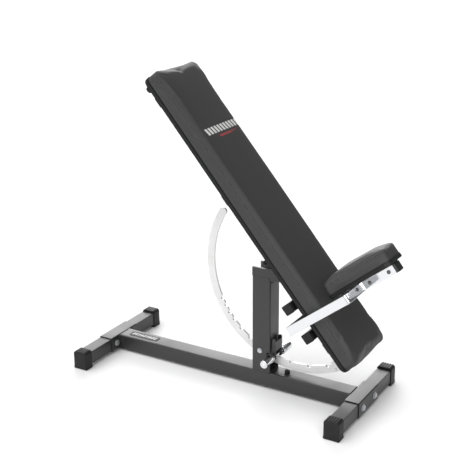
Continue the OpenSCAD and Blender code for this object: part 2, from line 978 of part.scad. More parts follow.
main_rail();
rear_sleeve();
front_sleeve();
rear_leg();
front_leg();
rear_right_foot();
rear_left_foot();
front_right_foot();
front_left_foot();
leg_bolts();
badge_plate();
rail_bumper();
upright_post();
post_stop_plate();
right_ear();
left_ear();
pivot_bolt();
pivot_nut();
latch_bolt();
latch_nut();
latch_spring();
pad_beam();
beam_plugs();
pivot_sleeve();
upper_cross_tube();
lower_cross_tube();
cross_tube_caps();
head_straps();
middle_straps();
foot_straps();
board_bolts();
head_studs();
pad_stop();
arc_plate();
arc_bracket();
arc_rivets();
pad_board();
pad_cushion();
right_latch_cheek();
left_latch_cheek();
latch_web();
latch_rod();
right_grip();
left_grip();
right_seat_bar();
left_seat_bar();
seat_cross_bar();
seat_glide();
seat_tube();
seat_tube_plug();
seat_bolts();
seat_board();
seat_cushion();
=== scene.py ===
"""The looks of an adjustable weight bench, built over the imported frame.

Every sub-assembly is a class that makes its pieces in its own frame, in millimetres, and puts
them in the row frame in metres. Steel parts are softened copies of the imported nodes. Caps,
grips, bars, springs, bolts, welds and stitches are new surfaces. The two cushions are swollen
by a short cloth simulation.
"""
import logging
import math
from dataclasses import dataclass, field
from enum import Enum

import bmesh
import bpy
import numpy as np
from mathutils import Euler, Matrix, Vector


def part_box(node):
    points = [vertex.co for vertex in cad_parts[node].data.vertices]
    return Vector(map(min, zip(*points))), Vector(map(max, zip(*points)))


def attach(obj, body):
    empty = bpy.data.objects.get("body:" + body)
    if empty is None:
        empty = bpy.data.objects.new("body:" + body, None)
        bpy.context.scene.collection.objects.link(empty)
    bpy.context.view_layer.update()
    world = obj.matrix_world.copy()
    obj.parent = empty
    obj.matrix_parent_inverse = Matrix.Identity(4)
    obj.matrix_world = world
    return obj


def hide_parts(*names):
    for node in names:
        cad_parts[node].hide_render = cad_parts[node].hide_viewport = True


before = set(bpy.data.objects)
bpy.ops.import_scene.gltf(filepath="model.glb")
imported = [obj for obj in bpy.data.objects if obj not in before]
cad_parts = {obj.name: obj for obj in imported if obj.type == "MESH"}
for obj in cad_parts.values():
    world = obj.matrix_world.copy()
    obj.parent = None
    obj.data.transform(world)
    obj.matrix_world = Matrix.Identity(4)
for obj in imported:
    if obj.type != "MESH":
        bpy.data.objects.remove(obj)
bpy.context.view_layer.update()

LOG = logging.getLogger("bench")
MM = 0.001
Array = np.ndarray


class Body(str, Enum):
    """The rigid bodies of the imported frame."""

    BASE = "base"
    PAD = "pad"
    LATCH = "latch"
    SEAT = "seat"


class Slot(str, Enum):
    """The material slots."""

    STEEL = "black_steel"
    PLASTIC = "cap_plastic"
    RUBBER = "stop_rubber"
    VINYL = "vinyl"
    BOARD = "board"
    ARC = "arc_steel"
    CHROME = "chrome"
    ZINC = "zinc"


class Side(Enum):
    """The two sides of the bench, as the sign of Y."""

    RIGHT = -1
    LEFT = 1


# Frames


def turn_y(degrees: float) -> Array:
    """Gives the matrix that turns column vectors about +Y.

    Args:
        degrees: The angle; positive tips +X downwards.

    Returns:
        A 3 by 3 matrix.
    """
    c, s = math.cos(math.radians(degrees)), math.sin(math.radians(degrees))
    return np.array([[c, 0, s], [0, 1, 0], [-s, 0, c]])


@dataclass(frozen=True)
class Place:
    """A local frame in millimetres: its origin and its lean about +Y inside the row frame."""

    origin: tuple[float, float, float]
    lean: float = 0.0

    def out(self, points: Array) -> Array:
        """Takes local points in millimetres to the row frame in metres.

        Args:
            points: Local points, (..., 3).

        Returns:
            The same points in the row frame.
        """
        return (np.asarray(self.origin) + points @ turn_y(self.lean).T) * MM

    def inside(self, origin: tuple[float, float, float], lean: float) -> "Place":
        """Gives the place that has this origin and lean inside this one."""
        at = np.asarray(self.origin) + turn_y(self.lean) @ np.asarray(origin)
        return Place(tuple(at), self.lean + lean)


PIVOT_X = 149.0
SHIFT_X = sum(corner.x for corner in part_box("pivot_sleeve")) / 2 / MM - PIVOT_X
INCLINE = 49.8
ON_BASE = Place((SHIFT_X, 0.0, 0.0))
ON_PAD = ON_BASE.inside((PIVOT_X, 0.0, 420.0), INCLINE)
ON_SEAT = ON_PAD.inside((135.0, 0.0, 75.0), 2.5 - 90.0)


# Shapes


@dataclass(frozen=True)
class Shape:
    """A closed surface as points and groups of faces with the same number of corners."""

    points: Array
    faces: tuple[Array, ...]

    def moved(self, offset: tuple[float, float, float]) -> "Shape":
        """Gives this shape shifted by an offset."""
        return Shape(self.points + np.asarray(offset, float), self.faces)

    def turned(self, matrix: Array) -> "Shape":
        """Gives this shape with a 3 by 3 matrix applied to its points."""
        return Shape(self.points @ matrix.T, self.faces)

    def flipped(self) -> "Shape":
        """Gives this shape mirrored across Y."""
        return self.turned(np.diag([1.0, -1.0, 1.0]))

    def repeated(self, spots: Array, turns: Array | None = None) -> "Shape":
        """Gives copies of this shape, one at each spot.

        Args:
            spots: Where each copy's origin goes, (n, 3).
            turns: A 3 by 3 matrix for each copy, (n, 3, 3), or None for no turn.

        Returns:
            All copies as one shape.
        """
        turned = self.points if turns is None else np.einsum("nij,pj->npi", turns, self.points)
        points = (turned + spots[:, None, :]).reshape(-1, 3)
        steps = np.arange(len(spots)) * len(self.points)
        faces = tuple(
            (group[None] + steps[:, None, None]).reshape(-1, group.shape[1]) for group in self.faces
        )
        return Shape(points, faces)


def joined(*shapes: Shape) -> Shape:
    """Puts several shapes together as one."""
    steps = np.cumsum([0] + [len(s.points) for s in shapes[:-1]])
    faces = tuple(group + step for s, step in zip(shapes, steps) for group in s.faces)
    return Shape(np.concatenate([s.points for s in shapes]), faces)


def both_sides(shape: Shape) -> Shape:
    """Gives the shape and its mirror image across Y."""
    return joined(shape, shape.flipped())


def loft(rings: Array, looped: bool = False) -> Shape:
    """Joins closed rings of points into one skin, with a face over each end.

    Args:
        rings: The rings in order, (rings, points, 3).
        looped: True if the last ring joins the first, as on a hoop.

    Returns:
        The closed skin.
    """
    count, around = rings.shape[:2]
    grid = np.arange(count * around).reshape(count, around)
    near, far = (grid, np.roll(grid, -1, 0)) if looped else (grid[:-1], grid[1:])
    quads = np.stack([near, far, np.roll(far, -1, 1), np.roll(near, -1, 1)], -1).reshape(-1, 4)
    ends = () if looped else (grid[:1], grid[-1:, ::-1])
    return Shape(rings.reshape(-1, 3), (quads, *ends))


def lathe(profile: list[tuple[float, float]], around: int = 48) -> Shape:
    """Turns a profile about +Y.

    Args:
        profile: Pairs of place along Y and radius, from one end to the other.
        around: Number of points round the axis.

    Returns:
        The turned shape.
    """
    angles = np.linspace(0, 2 * np.pi, around, endpoint=False)
    along, radius = np.asarray(profile, float).T
    rings = np.stack(
        [
            radius[:, None] * np.cos(angles),
            np.broadcast_to(along[:, None], (len(along), around)),
            radius[:, None] * np.sin(angles),
        ],
        -1,
    )
    return loft(rings)


def sweep(path: Array, section: Array, up: tuple[float, float, float], looped: bool = False) -> Shape:
    """Carries a section along a path. At each point the section's first axis is the path's
    direction crossed with the up direction, and its second is square to both.

    Args:
        path: The path's points, (n, 3).
        section: The section's outline, (m, 2), or one for each path point, (n, m, 2).
        up: A direction that the path never follows.
        looped: True if the path closes on itself.

    Returns:
        The swept shape.
    """
    if looped:
        ahead = np.roll(path, -1, 0) - np.roll(path, 1, 0)
    else:
        ahead = np.gradient(path, axis=0)
    ahead /= np.linalg.norm(ahead, axis=1, keepdims=True)
    across = np.cross(ahead, np.asarray(up, float))
    across /= np.linalg.norm(across, axis=1, keepdims=True)
    upright = np.cross(across, ahead)
    wide = np.broadcast_to(section, (len(path), *section.shape[-2:]))
    rings = path[:, None] + wide[..., :1] * across[:, None] + wide[..., 1:] * upright[:, None]
    return loft(rings, looped)


def circle(radius: float, around: int = 16) -> Array:
    """Gives a circle's points, (around, 2)."""
    angles = np.linspace(0, 2 * np.pi, around, endpoint=False)
    return radius * np.stack([np.cos(angles), np.sin(angles)], -1)


def rounded_outline(length: float, width: float, radius: float, step: float) -> tuple[Array, Array]:
    """Walks round a rectangle with round corners, anticlockwise from the middle of its +X side.

    Args:
        length: Size along X.
        width: Size along Y.
        radius: Corner radius.
        step: Rough distance between points.

    Returns:
        The points, (n, 2), and the outward directions there, (n, 2). Both halves match
        across X and across Y.
    """
    half_x, half_y = length / 2 - radius, width / 2 - radius
    side = np.linspace(0, half_y, max(2, round(half_y / step)) + 1)[:-1]
    turn = np.linspace(0, np.pi / 2, max(6, round(radius * np.pi / 2 / step)) + 1)[:-1]
    top = np.linspace(half_x, 0, max(2, round(half_x / step)) + 1)
    points = np.concatenate(
        [
            np.stack([np.full_like(side, length / 2), side], -1),
            np.stack([half_x + radius * np.cos(turn), half_y + radius * np.sin(turn)], -1),
            np.stack([top, np.full_like(top, width / 2)], -1),
        ]
    )
    normals = np.concatenate(
        [
            np.tile([1.0, 0.0], (len(side), 1)),
            np.stack([np.cos(turn), np.sin(turn)], -1),
            np.tile([0.0, 1.0], (len(top), 1)),
        ]
    )
    for flip in ([-1.0, 1.0], [1.0, -1.0]):
        points = np.concatenate([points, (points[::-1] * flip)[1:]])
        normals = np.concatenate([normals, (normals[::-1] * flip)[1:]])
    return points[:-1], normals[:-1]


def tapered_outline(
    length: float, rear: float, front: float, radius: float, step: float
) -> tuple[Array, Array]:
    """Walks round a plan with round corners whose width runs evenly from one end to the other:
    a rectangle with round corners, each of whose points is drawn in or out across X in
    proportion to its place along X.

    Args:
        length: Size along X.
        rear: Width at the -X end.
        front: Width at the +X end.
        radius: Corner radius.
        step: Rough distance between points.

    Returns:
        The points, (n, 2), and the outward directions there, (n, 2).
    """
    points, normals = rounded_outline(length, (rear + front) / 2, radius, step)
    slope = 2 * (front - rear) / (rear + front) / length
    scale = 1 + slope * points[:, 0]
    out = np.stack(
        [normals[:, 0] - points[:, 1] * slope / scale * normals[:, 1], normals[:, 1] / scale], -1
    )
    out /= np.linalg.norm(out, axis=1, keepdims=True)
    return np.stack([points[:, 0], points[:, 1] * scale], -1), out


def rounded_block(size: tuple[float, float, float], corner: float, edge: float) -> Shape:
    """Makes a block centred on the origin: a rounded rectangle in X and Y, with rounded edges
    above and below.

    Args:
        size: Sizes along X, Y and Z.
        corner: Corner radius seen from above.
        edge: Radius of the edges above and below, less than the corner radius.

    Returns:
        The block.
    """
    outline, normals = rounded_outline(size[0], size[1], corner, 2.0)
    turn = np.linspace(0, np.pi / 2, 6)
    inset = np.concatenate([edge * (1 - np.sin(turn)), edge * (1 - np.sin(turn[::-1]))])
    height = np.concatenate(
        [edge * (1 - np.cos(turn)) - size[2] / 2, size[2] / 2 - edge * (1 - np.cos(turn[::-1]))]
    )
    flat = outline[None] - inset[:, None, None] * normals[None]
    rise = np.broadcast_to(height[:, None, None], (*flat.shape[:2], 1))
    return loft(np.concatenate([flat, rise], -1)[::-1])


def hex_radius(across: float, angles: Array) -> Array:
    """Gives a hexagon's radius at each angle, from its size across flats."""
    return across / 2 / np.cos((angles + np.pi / 6) % (np.pi / 3) - np.pi / 6)


def hex_head(across: float, height: float, washer: float, flip: bool = False) -> Shape:
    """Makes a hexagon head with a washer under it, standing along +Y on the plane Y = 0. The
    head's top is cut by a shallow cone, which leaves the usual arcs on its flats.

    Args:
        across: Size across flats.
        height: Height of the head and washer together.
        washer: Thickness of the washer.
        flip: True to stand it along -Y.

    Returns:
        The head and its washer.
    """
    angles = np.linspace(0, 2 * np.pi, 36, endpoint=False)
    hexagon = hex_radius(across, angles)
    crown = np.full_like(angles, 0.46 * across)
    shoulder = height - (hexagon - crown) * math.tan(math.radians(30))
    rows = [
        (np.full_like(angles, washer), hexagon),
        (shoulder, hexagon),
        (np.full_like(angles, height), crown),
        (np.full_like(angles, height), crown * 0.5),
    ]
    rings = np.stack([np.stack([r * np.cos(angles), y, r * np.sin(angles)], -1) for y, r in rows])
    edge = 0.25 * washer
    disc = lathe(
        [(0, 0), (0, across * 0.68), (edge, across * 0.7), (washer - edge, across * 0.7),
         (washer, across * 0.68), (washer, 0)]
    )
    shape = joined(loft(rings), disc)
    return shape.flipped() if flip else shape


def socket_head(radius: float, height: float, hexagon: float) -> Shape:
    """Makes a low domed screw head with a hexagon socket, standing along +Y on the plane
    Y = 0. The socket is a hexagon sunk half the head's height."""
    angles = np.linspace(0, 2 * np.pi, 36, endpoint=False)
    flat, socket = np.ones_like(angles), hex_radius(hexagon, angles)
    rows = [
        (0.0, radius * flat),
        (0.35 * height, radius * flat),
        (0.75 * height, 0.9 * radius * flat),
        (height, 0.68 * radius * flat),
        (height, 1.06 * socket),
        (0.95 * height, socket),
        (0.45 * height, socket),
        (0.4 * height, 0.4 * socket),
    ]
    rings = [np.stack([r * np.cos(angles), y * flat, r * np.sin(angles)], -1) for y, r in rows]
    return loft(np.stack(rings))


def weld_bead(start: tuple, end: tuple, radius: float, pitch: float = 4.0) -> Shape:
    """Makes a weld bead along a joint: a round rod whose radius swells and falls once for
    each drop of metal, and tapers off at both ends.

    Args:
        start: One end of the joint.
        end: The other end of the joint.
        radius: Middle radius of the bead.
        pitch: Distance from drop to drop.

    Returns:
        The bead.
    """
    a, b = np.asarray(start, float), np.asarray(end, float)
    length = float(np.linalg.norm(b - a))
    steps = max(8, round(length / pitch * 5))
    t = np.linspace(0, 1, steps + 1)
    ripple = 1 + 0.16 * np.cos(2 * np.pi * t * length / pitch) + 0.05 * np.sin(11.3 * t * length / pitch)
    taper = np.clip(np.minimum(t, 1 - t) * length / (1.2 * radius), 0.15, 1) ** 0.5
    ring = circle(1.0, 10)
    section = (radius * ripple * taper)[:, None, None] * ring
    up = (0.0, 1.0, 0.0) if abs(b[1] - a[1]) < 0.5 * length else (0.0, 0.0, 1.0)
    return sweep(a + (b - a) * t[:, None], section, up)


def helix(radius: float, wire: float, pitch: float, turns: float, legs: float) -> Shape:
    """Makes a torsion spring about +Y: a wire wound as a screw line, whose ends run on
    straight along their tangents as two legs.

    Args:
        radius: Radius of the coil's centreline.
        wire: Diameter of the wire.
        pitch: Advance along Y for each turn.
        turns: Number of turns.
        legs: Length of each leg.

    Returns:
        The spring.
    """
    angles = np.linspace(0, 2 * np.pi * turns, round(28 * turns))
    coil = np.stack([radius * np.cos(angles), pitch * angles / (2 * np.pi), radius * np.sin(angles)], -1)
    reach = np.linspace(legs, 0, 6, endpoint=False)[:, None]
    first = coil[0] + reach * np.array([0.0, 0.0, -1.0])
    ahead = np.array([-np.sin(angles[-1]), 0.0, np.cos(angles[-1])])
    last = coil[-1] + reach[::-1] * ahead
    return sweep(np.concatenate([first, coil, last]), circle(wire / 2, 10), (0.0, 1.0, 0.0))


def filleted(corners: list[tuple[float, float]], radius: float, step: float) -> Array:
    """Walks a line through corners in a plane, each turned with the same radius.

    Args:
        corners: The line's ends and corners.
        radius: Radius of each turn.
        step: Rough distance between points on the straights.

    Returns:
        The points, (n, 2).
    """
    line = np.asarray(corners, float)
    parts = []
    begin = line[0]
    for before, at, after in zip(line[:-2], line[1:-1], line[2:]):
        into = (at - before) / np.linalg.norm(at - before)
        out = (after - at) / np.linalg.norm(after - at)
        angle = math.acos(float(np.clip(into @ out, -1, 1)))
        cut = radius * math.tan(angle / 2)
        enter = at - into * cut
        sign = np.sign(into[0] * out[1] - into[1] * out[0])
        centre = enter + radius * sign * np.array([-into[1], into[0]])
        sweep_angles = sign * np.linspace(0, angle, 13)[:, None]
        spoke = enter - centre
        turned = np.array([-spoke[1], spoke[0]])
        straight = np.linspace(begin, enter, max(2, round(float(np.linalg.norm(enter - begin)) / step)))
        parts += [straight[:-1], centre + np.cos(sweep_angles) * spoke + np.sin(sweep_angles) * turned]
        begin = at + out * cut
    tail = np.linspace(begin, line[-1], max(2, round(float(np.linalg.norm(line[-1] - begin)) / step)))
    return np.concatenate([*parts, tail[1:]])


def bar_section(thick: float, height: float, radius: float) -> Array:
    """Gives the outline of a flat bar with rounded edges, (n, 2)."""
    return rounded_outline(thick, height, radius, 3.0)[0]


# Finishes


class Graph:
    """Builds one material's nodes around a Principled shader."""

    def __init__(self, name: str) -> None:
        """Starts the material.

        Args:
            name: The material's name.
        """
        self.material = bpy.data.materials.new(name)
        self.material.use_nodes = True
        self.nodes = self.material.node_tree.nodes
        self.links = self.material.node_tree.links
        self.nodes.clear()
        self.shader = self.nodes.new("ShaderNodeBsdfPrincipled")
        output = self.nodes.new("ShaderNodeOutputMaterial")
        self.links.new(self.shader.outputs["BSDF"], output.inputs["Surface"])
        self.coordinates = self.nodes.new("ShaderNodeTexCoord").outputs["Object"]

    def put(self, node: bpy.types.Node, **values: object) -> bpy.types.Node:
        """Sets a node's inputs, by name with _ for a space, to sockets or to plain values."""
        for key, value in values.items():
            socket = node.inputs[key.replace("_", " ")]
            if isinstance(value, bpy.types.NodeSocket):
                self.links.new(value, socket)
            else:
                socket.default_value = value
        return node

    def mapped(self, stretch: tuple[float, float, float], lean: float = 0.0) -> bpy.types.NodeSocket:
        """Gives object coordinates turned about Y and stretched."""
        turned = self.nodes.new("ShaderNodeVectorRotate")
        turned.rotation_type = "Y_AXIS"
        self.put(turned, Vector=self.coordinates, Angle=math.radians(-lean))
        scaled = self.nodes.new("ShaderNodeMapping")
        self.put(scaled, Vector=turned.outputs["Vector"], Scale=stretch)
        return scaled.outputs["Vector"]

    def noise(
        self, scale: float, detail: float = 2.0, at: bpy.types.NodeSocket | None = None
    ) -> bpy.types.NodeSocket:
        """Gives a noise value, with its scale in cells for each metre."""
        node = self.nodes.new("ShaderNodeTexNoise")
        self.put(node, Vector=at or self.coordinates, Scale=scale, Detail=detail)
        return node.outputs["Fac"]

    def cells(self, scale: float, feature: str = "SMOOTH_F1") -> bpy.types.NodeSocket:
        """Gives the distance to a Voronoi pattern's cells."""
        node = self.nodes.new("ShaderNodeTexVoronoi")
        node.feature = feature
        self.put(node, Vector=self.coordinates, Scale=scale)
        return node.outputs["Distance"]

    def ranged(
        self, value: bpy.types.NodeSocket, low: float, high: float, to_low: float, to_high: float
    ) -> bpy.types.NodeSocket:
        """Carries a value from one range to another, clamped."""
        node = self.nodes.new("ShaderNodeMapRange")
        self.put(node, Value=value, From_Min=low, From_Max=high, To_Min=to_low, To_Max=to_high)
        return node.outputs["Result"]

    def mixed(self, factor: object, a: object, b: object) -> bpy.types.NodeSocket:
        """Mixes two colours."""
        node = self.nodes.new("ShaderNodeMix")
        node.data_type = "RGBA"
        for index, value in ((0, factor), (6, a), (7, b)):
            if isinstance(value, bpy.types.NodeSocket):
                self.links.new(value, node.inputs[index])
            else:
                node.inputs[index].default_value = value
        return node.outputs[2]

    def sum(self, a: object, b: object, operation: str = "ADD") -> bpy.types.NodeSocket:
        """Adds two values, or combines them with another operation."""
        node = self.nodes.new("ShaderNodeMath")
        node.operation = operation
        for index, value in enumerate((a, b)):
            if isinstance(value, bpy.types.NodeSocket):
                self.links.new(value, node.inputs[index])
            else:
                node.inputs[index].default_value = value
        return node.outputs[0]

    def bump(self, height: bpy.types.NodeSocket, depth: float, strength: float = 1.0) -> None:
        """Raises the surface by a height pattern, with its depth in metres."""
        node = self.nodes.new("ShaderNodeBump")
        self.put(node, Height=height, Distance=depth, Strength=strength)
        self.put(self.shader, Normal=node.outputs["Normal"])


def rgba(value: float, warm: float = 0.0) -> tuple[float, float, float, float]:
    """Gives a grey, a little warmer or cooler."""
    return (value * (1 + warm), value, value * (1 - warm), 1.0)


@dataclass(frozen=True)
class Finish:
    """A finish that can be built once as a material."""

    name: str

    def dress(self, graph: Graph) -> None:
        """Adds this finish's nodes to a graph."""
        raise NotImplementedError

    def material(self) -> bpy.types.Material:
        """Gives the material, built on first use."""
        known = bpy.data.materials.get(self.name)
        if known:
            return known
        graph = Graph(self.name)
        self.dress(graph)
        return graph.material


@dataclass(frozen=True)
class PowderCoat(Finish):
    """Fine textured paint: sandy bumps about a millimetre wide over slow changes of tone."""

    tone: float = 0.02
    roughness: float = 0.4
    grain: float = 900.0
    depth: float = 0.00011

    def dress(self, graph: Graph) -> None:
        """Adds the sandy bumps, the speckle and the slow tone."""
        sand = graph.noise(self.grain, 3.0)
        slow = graph.noise(9.0, 3.0)
        speck = graph.ranged(sand, 0.36, 0.66, 0.0, 1.0)
        dark, light = rgba(self.tone * 0.72), rgba(self.tone * 1.5, 0.01)
        tone = graph.mixed(
            graph.ranged(slow, 0.35, 0.65, 0.0, 1.0), rgba(self.tone * 0.9), rgba(self.tone * 1.12)
        )
        speckled = graph.mixed(graph.sum(speck, 0.45, "MULTIPLY"), dark, light)
        colour = graph.mixed(0.5, tone, speckled)
        rough = graph.ranged(graph.sum(slow, sand), 0.6, 1.4, self.roughness - 0.07, self.roughness + 0.09)
        graph.put(graph.shader, Base_Color=colour, Roughness=rough, Metallic=0.0, IOR=1.6)
        graph.bump(sand, self.depth)


@dataclass(frozen=True)
class Moulded(Finish):
    """Moulded plastic or rubber: a very fine grain, duller where the grain is deeper."""

    tone: float = 0.007
    roughness: float = 0.5
    grain: float = 1400.0
    depth: float = 0.00005
    gloss: float = 0.3

    def dress(self, graph: Graph) -> None:
        """Adds the fine grain and a faint bloom."""
        grain = graph.noise(self.grain, 2.0)
        bloom = graph.noise(26.0, 4.0)
        colour = graph.mixed(
            graph.ranged(bloom, 0.4, 0.72, 0.0, 1.0), rgba(self.tone), rgba(self.tone * 2.1, 0.02)
        )
        rough = graph.ranged(bloom, 0.3, 0.7, self.roughness - 0.06, self.roughness + 0.1)
        graph.put(graph.shader, Base_Color=colour, Roughness=rough, Specular_IOR_Level=self.gloss)
        graph.bump(graph.sum(grain, graph.sum(bloom, 0.4, "MULTIPLY")), self.depth)


@dataclass(frozen=True)
class Vinyl(Finish):
    """Upholstery vinyl: pebbled grain in irregular cells, with slow softer patches where the
    skin is stretched."""

    tone: float = 0.011
    roughness: float = 0.38
    grain: float = 620.0
    depth: float = 0.00016
    gloss: float = 0.5

    def dress(self, graph: Graph) -> None:
        """Adds the pebbles, the creases between them with painted shade in them, and the stretched patches.
        """
        pebble = graph.ranged(graph.cells(self.grain), 0.0, 0.75, 0.0, 1.0)
        fine = graph.noise(self.grain * 2.3, 2.0)
        patch = graph.noise(7.0, 4.0)
        shaded_crease = graph.ranged(pebble, 0.55, 1.0, 0.0, 1.0)
        base = graph.mixed(
            graph.ranged(patch, 0.35, 0.7, 0.0, 1.0), rgba(self.tone), rgba(self.tone * 1.45, -0.01)
        )
        # Painted shade: the colour is darkened in the creases between the pebbles.
        colour = graph.mixed(shaded_crease, base, rgba(self.tone * 0.55))
        rough = graph.ranged(patch, 0.3, 0.7, self.roughness - 0.05, self.roughness + 0.1)
        graph.put(graph.shader, Base_Color=colour, Roughness=rough, Specular_IOR_Level=self.gloss)
        graph.put(graph.shader, Coat_Weight=0.12, Coat_Roughness=0.28)
        height = graph.sum(graph.sum(1.0, pebble, "SUBTRACT"), graph.sum(fine, 0.25, "MULTIPLY"))
        graph.bump(height, self.depth)


@dataclass(frozen=True)
class Metal(Finish):
    """Bare or plated metal: fine lines along one direction and faint cloudy marks."""

    tone: float = 0.7
    warm: float = 0.0
    roughness: float = 0.1
    spread: float = 0.05
    stretch: tuple[float, float, float] = (400.0, 400.0, 400.0)
    lean: float = 0.0
    depth: float = 0.00001
    metallic: float = 1.0

    def dress(self, graph: Graph) -> None:
        """Adds the lines and the cloudy marks."""
        lines = graph.noise(1.0, 3.0, graph.mapped(self.stretch, self.lean))
        cloud = graph.noise(18.0, 4.0)
        light, dark = rgba(self.tone, self.warm), rgba(self.tone * 0.86, self.warm)
        colour = graph.mixed(graph.ranged(graph.sum(lines, cloud), 0.7, 1.3, 0.0, 1.0), dark, light)
        rough = graph.ranged(cloud, 0.3, 0.75, self.roughness, self.roughness + self.spread)
        graph.put(graph.shader, Base_Color=colour, Metallic=self.metallic, Roughness=rough)
        graph.bump(lines, self.depth)


@dataclass(frozen=True)
class Plywood(Finish):
    """Plywood under a black stain: thin plies at its edges and long soft grain on its face."""

    tone: float = 0.014
    ply: float = 1.7
    lean: float = INCLINE

    def dress(self, graph: Graph) -> None:
        """Adds the plies and the grain."""
        grain = graph.noise(1.0, 6.0, graph.mapped((9.0, 150.0, 150.0), self.lean))
        plies = self.ply / MM
        layers = graph.noise(1.0, 0.0, graph.mapped((3.0, 3.0, 1e6 / plies), self.lean))
        colour = graph.mixed(
            graph.ranged(grain, 0.35, 0.7, 0.0, 1.0), rgba(self.tone * 0.6), rgba(self.tone * 2.0, 0.12)
        )
        banded = graph.mixed(graph.ranged(layers, 0.4, 0.6, 0.0, 0.5), colour, rgba(self.tone * 0.5))
        graph.put(graph.shader, Base_Color=banded, Roughness=graph.ranged(grain, 0.3, 0.7, 0.6, 0.78))
        graph.bump(graph.sum(grain, layers), 0.00012)


@dataclass(frozen=True)
class Ink(Finish):
    """Printed ink with slightly worn edges and uneven cover."""

    colour: tuple[float, float, float, float] = (0.75, 0.75, 0.74, 1.0)

    def dress(self, graph: Graph) -> None:
        """Adds the uneven cover."""
        wear = graph.noise(500.0, 3.0)
        r, g, b, _ = self.colour
        colour = graph.mixed(
            graph.ranged(wear, 0.4, 0.62, 0.0, 1.0), (r * 0.72, g * 0.72, b * 0.72, 1.0), self.colour
        )
        graph.put(graph.shader, Base_Color=colour, Roughness=graph.ranged(wear, 0.3, 0.7, 0.42, 0.55))
        graph.bump(wear, 0.00004)


@dataclass(frozen=True)
class Thread(Finish):
    """Bonded sewing thread: a tight twist."""

    tone: float = 0.16

    def dress(self, graph: Graph) -> None:
        """Adds the twist."""
        twist = graph.noise(1800.0, 1.0)
        colour = graph.mixed(
            graph.ranged(twist, 0.4, 0.6, 0.0, 1.0), rgba(self.tone * 0.6), rgba(self.tone * 1.3)
        )
        graph.put(graph.shader, Base_Color=colour, Roughness=graph.ranged(twist, 0.3, 0.7, 0.5, 0.65))
        graph.bump(twist, 0.0001)


@dataclass(frozen=True)
class PaleFloor(Finish):
    """A plain pale studio floor."""

    tone: float = 0.9

    def dress(self, graph: Graph) -> None:
        """Adds a barely visible mottle."""
        mottle = graph.noise(2.0, 2.0)
        colour = graph.mixed(
            graph.ranged(mottle, 0.3, 0.7, 0.0, 1.0), rgba(self.tone), rgba(self.tone * 1.02)
        )
        graph.put(graph.shader, Base_Color=colour, Roughness=0.7)


STEEL = PowderCoat("powder_coat", tone=0.017)
PLASTIC = Moulded("moulded_plastic")
RUBBER = Moulded("rubber", tone=0.009, roughness=0.68, grain=900.0, depth=0.00009)
VINYL = Vinyl("vinyl")
# The hem is the cushion's vinyl made darker and duller: its darker tone is painted shade for the shadow under
# the cushion's edge.
SHADED_HEM = Vinyl("vinyl_hem_painted_shade", tone=0.006, roughness=0.6, gloss=0.25)
BOARD = Plywood("pad_plywood")
SEAT_BOARD = Plywood("seat_plywood", lean=INCLINE + 2.5 - 90.0)
SATIN = Metal(
    "satin_plate", tone=0.8, roughness=0.3, spread=0.12,
    stretch=(60.0, 60.0, 900.0), depth=0.00003, metallic=0.35,
)
CHROME = Metal("chrome", tone=0.68, warm=-0.01, roughness=0.05, spread=0.05, depth=0.000002)
ZINC = Metal(
    "zinc", tone=0.62, warm=0.01, roughness=0.26, spread=0.14,
    stretch=(300.0, 900.0, 300.0), depth=0.00001,
)
DARK_BOLT = Metal(
    "dark_bolt", tone=0.16, roughness=0.32, spread=0.1,
    stretch=(500.0, 500.0, 500.0), depth=0.00002,
)
THREAD = Thread("thread")
WHITE_INK = Ink("white_ink")
RED_INK = Ink("red_ink", colour=(0.32, 0.05, 0.06, 1.0))


# Pieces


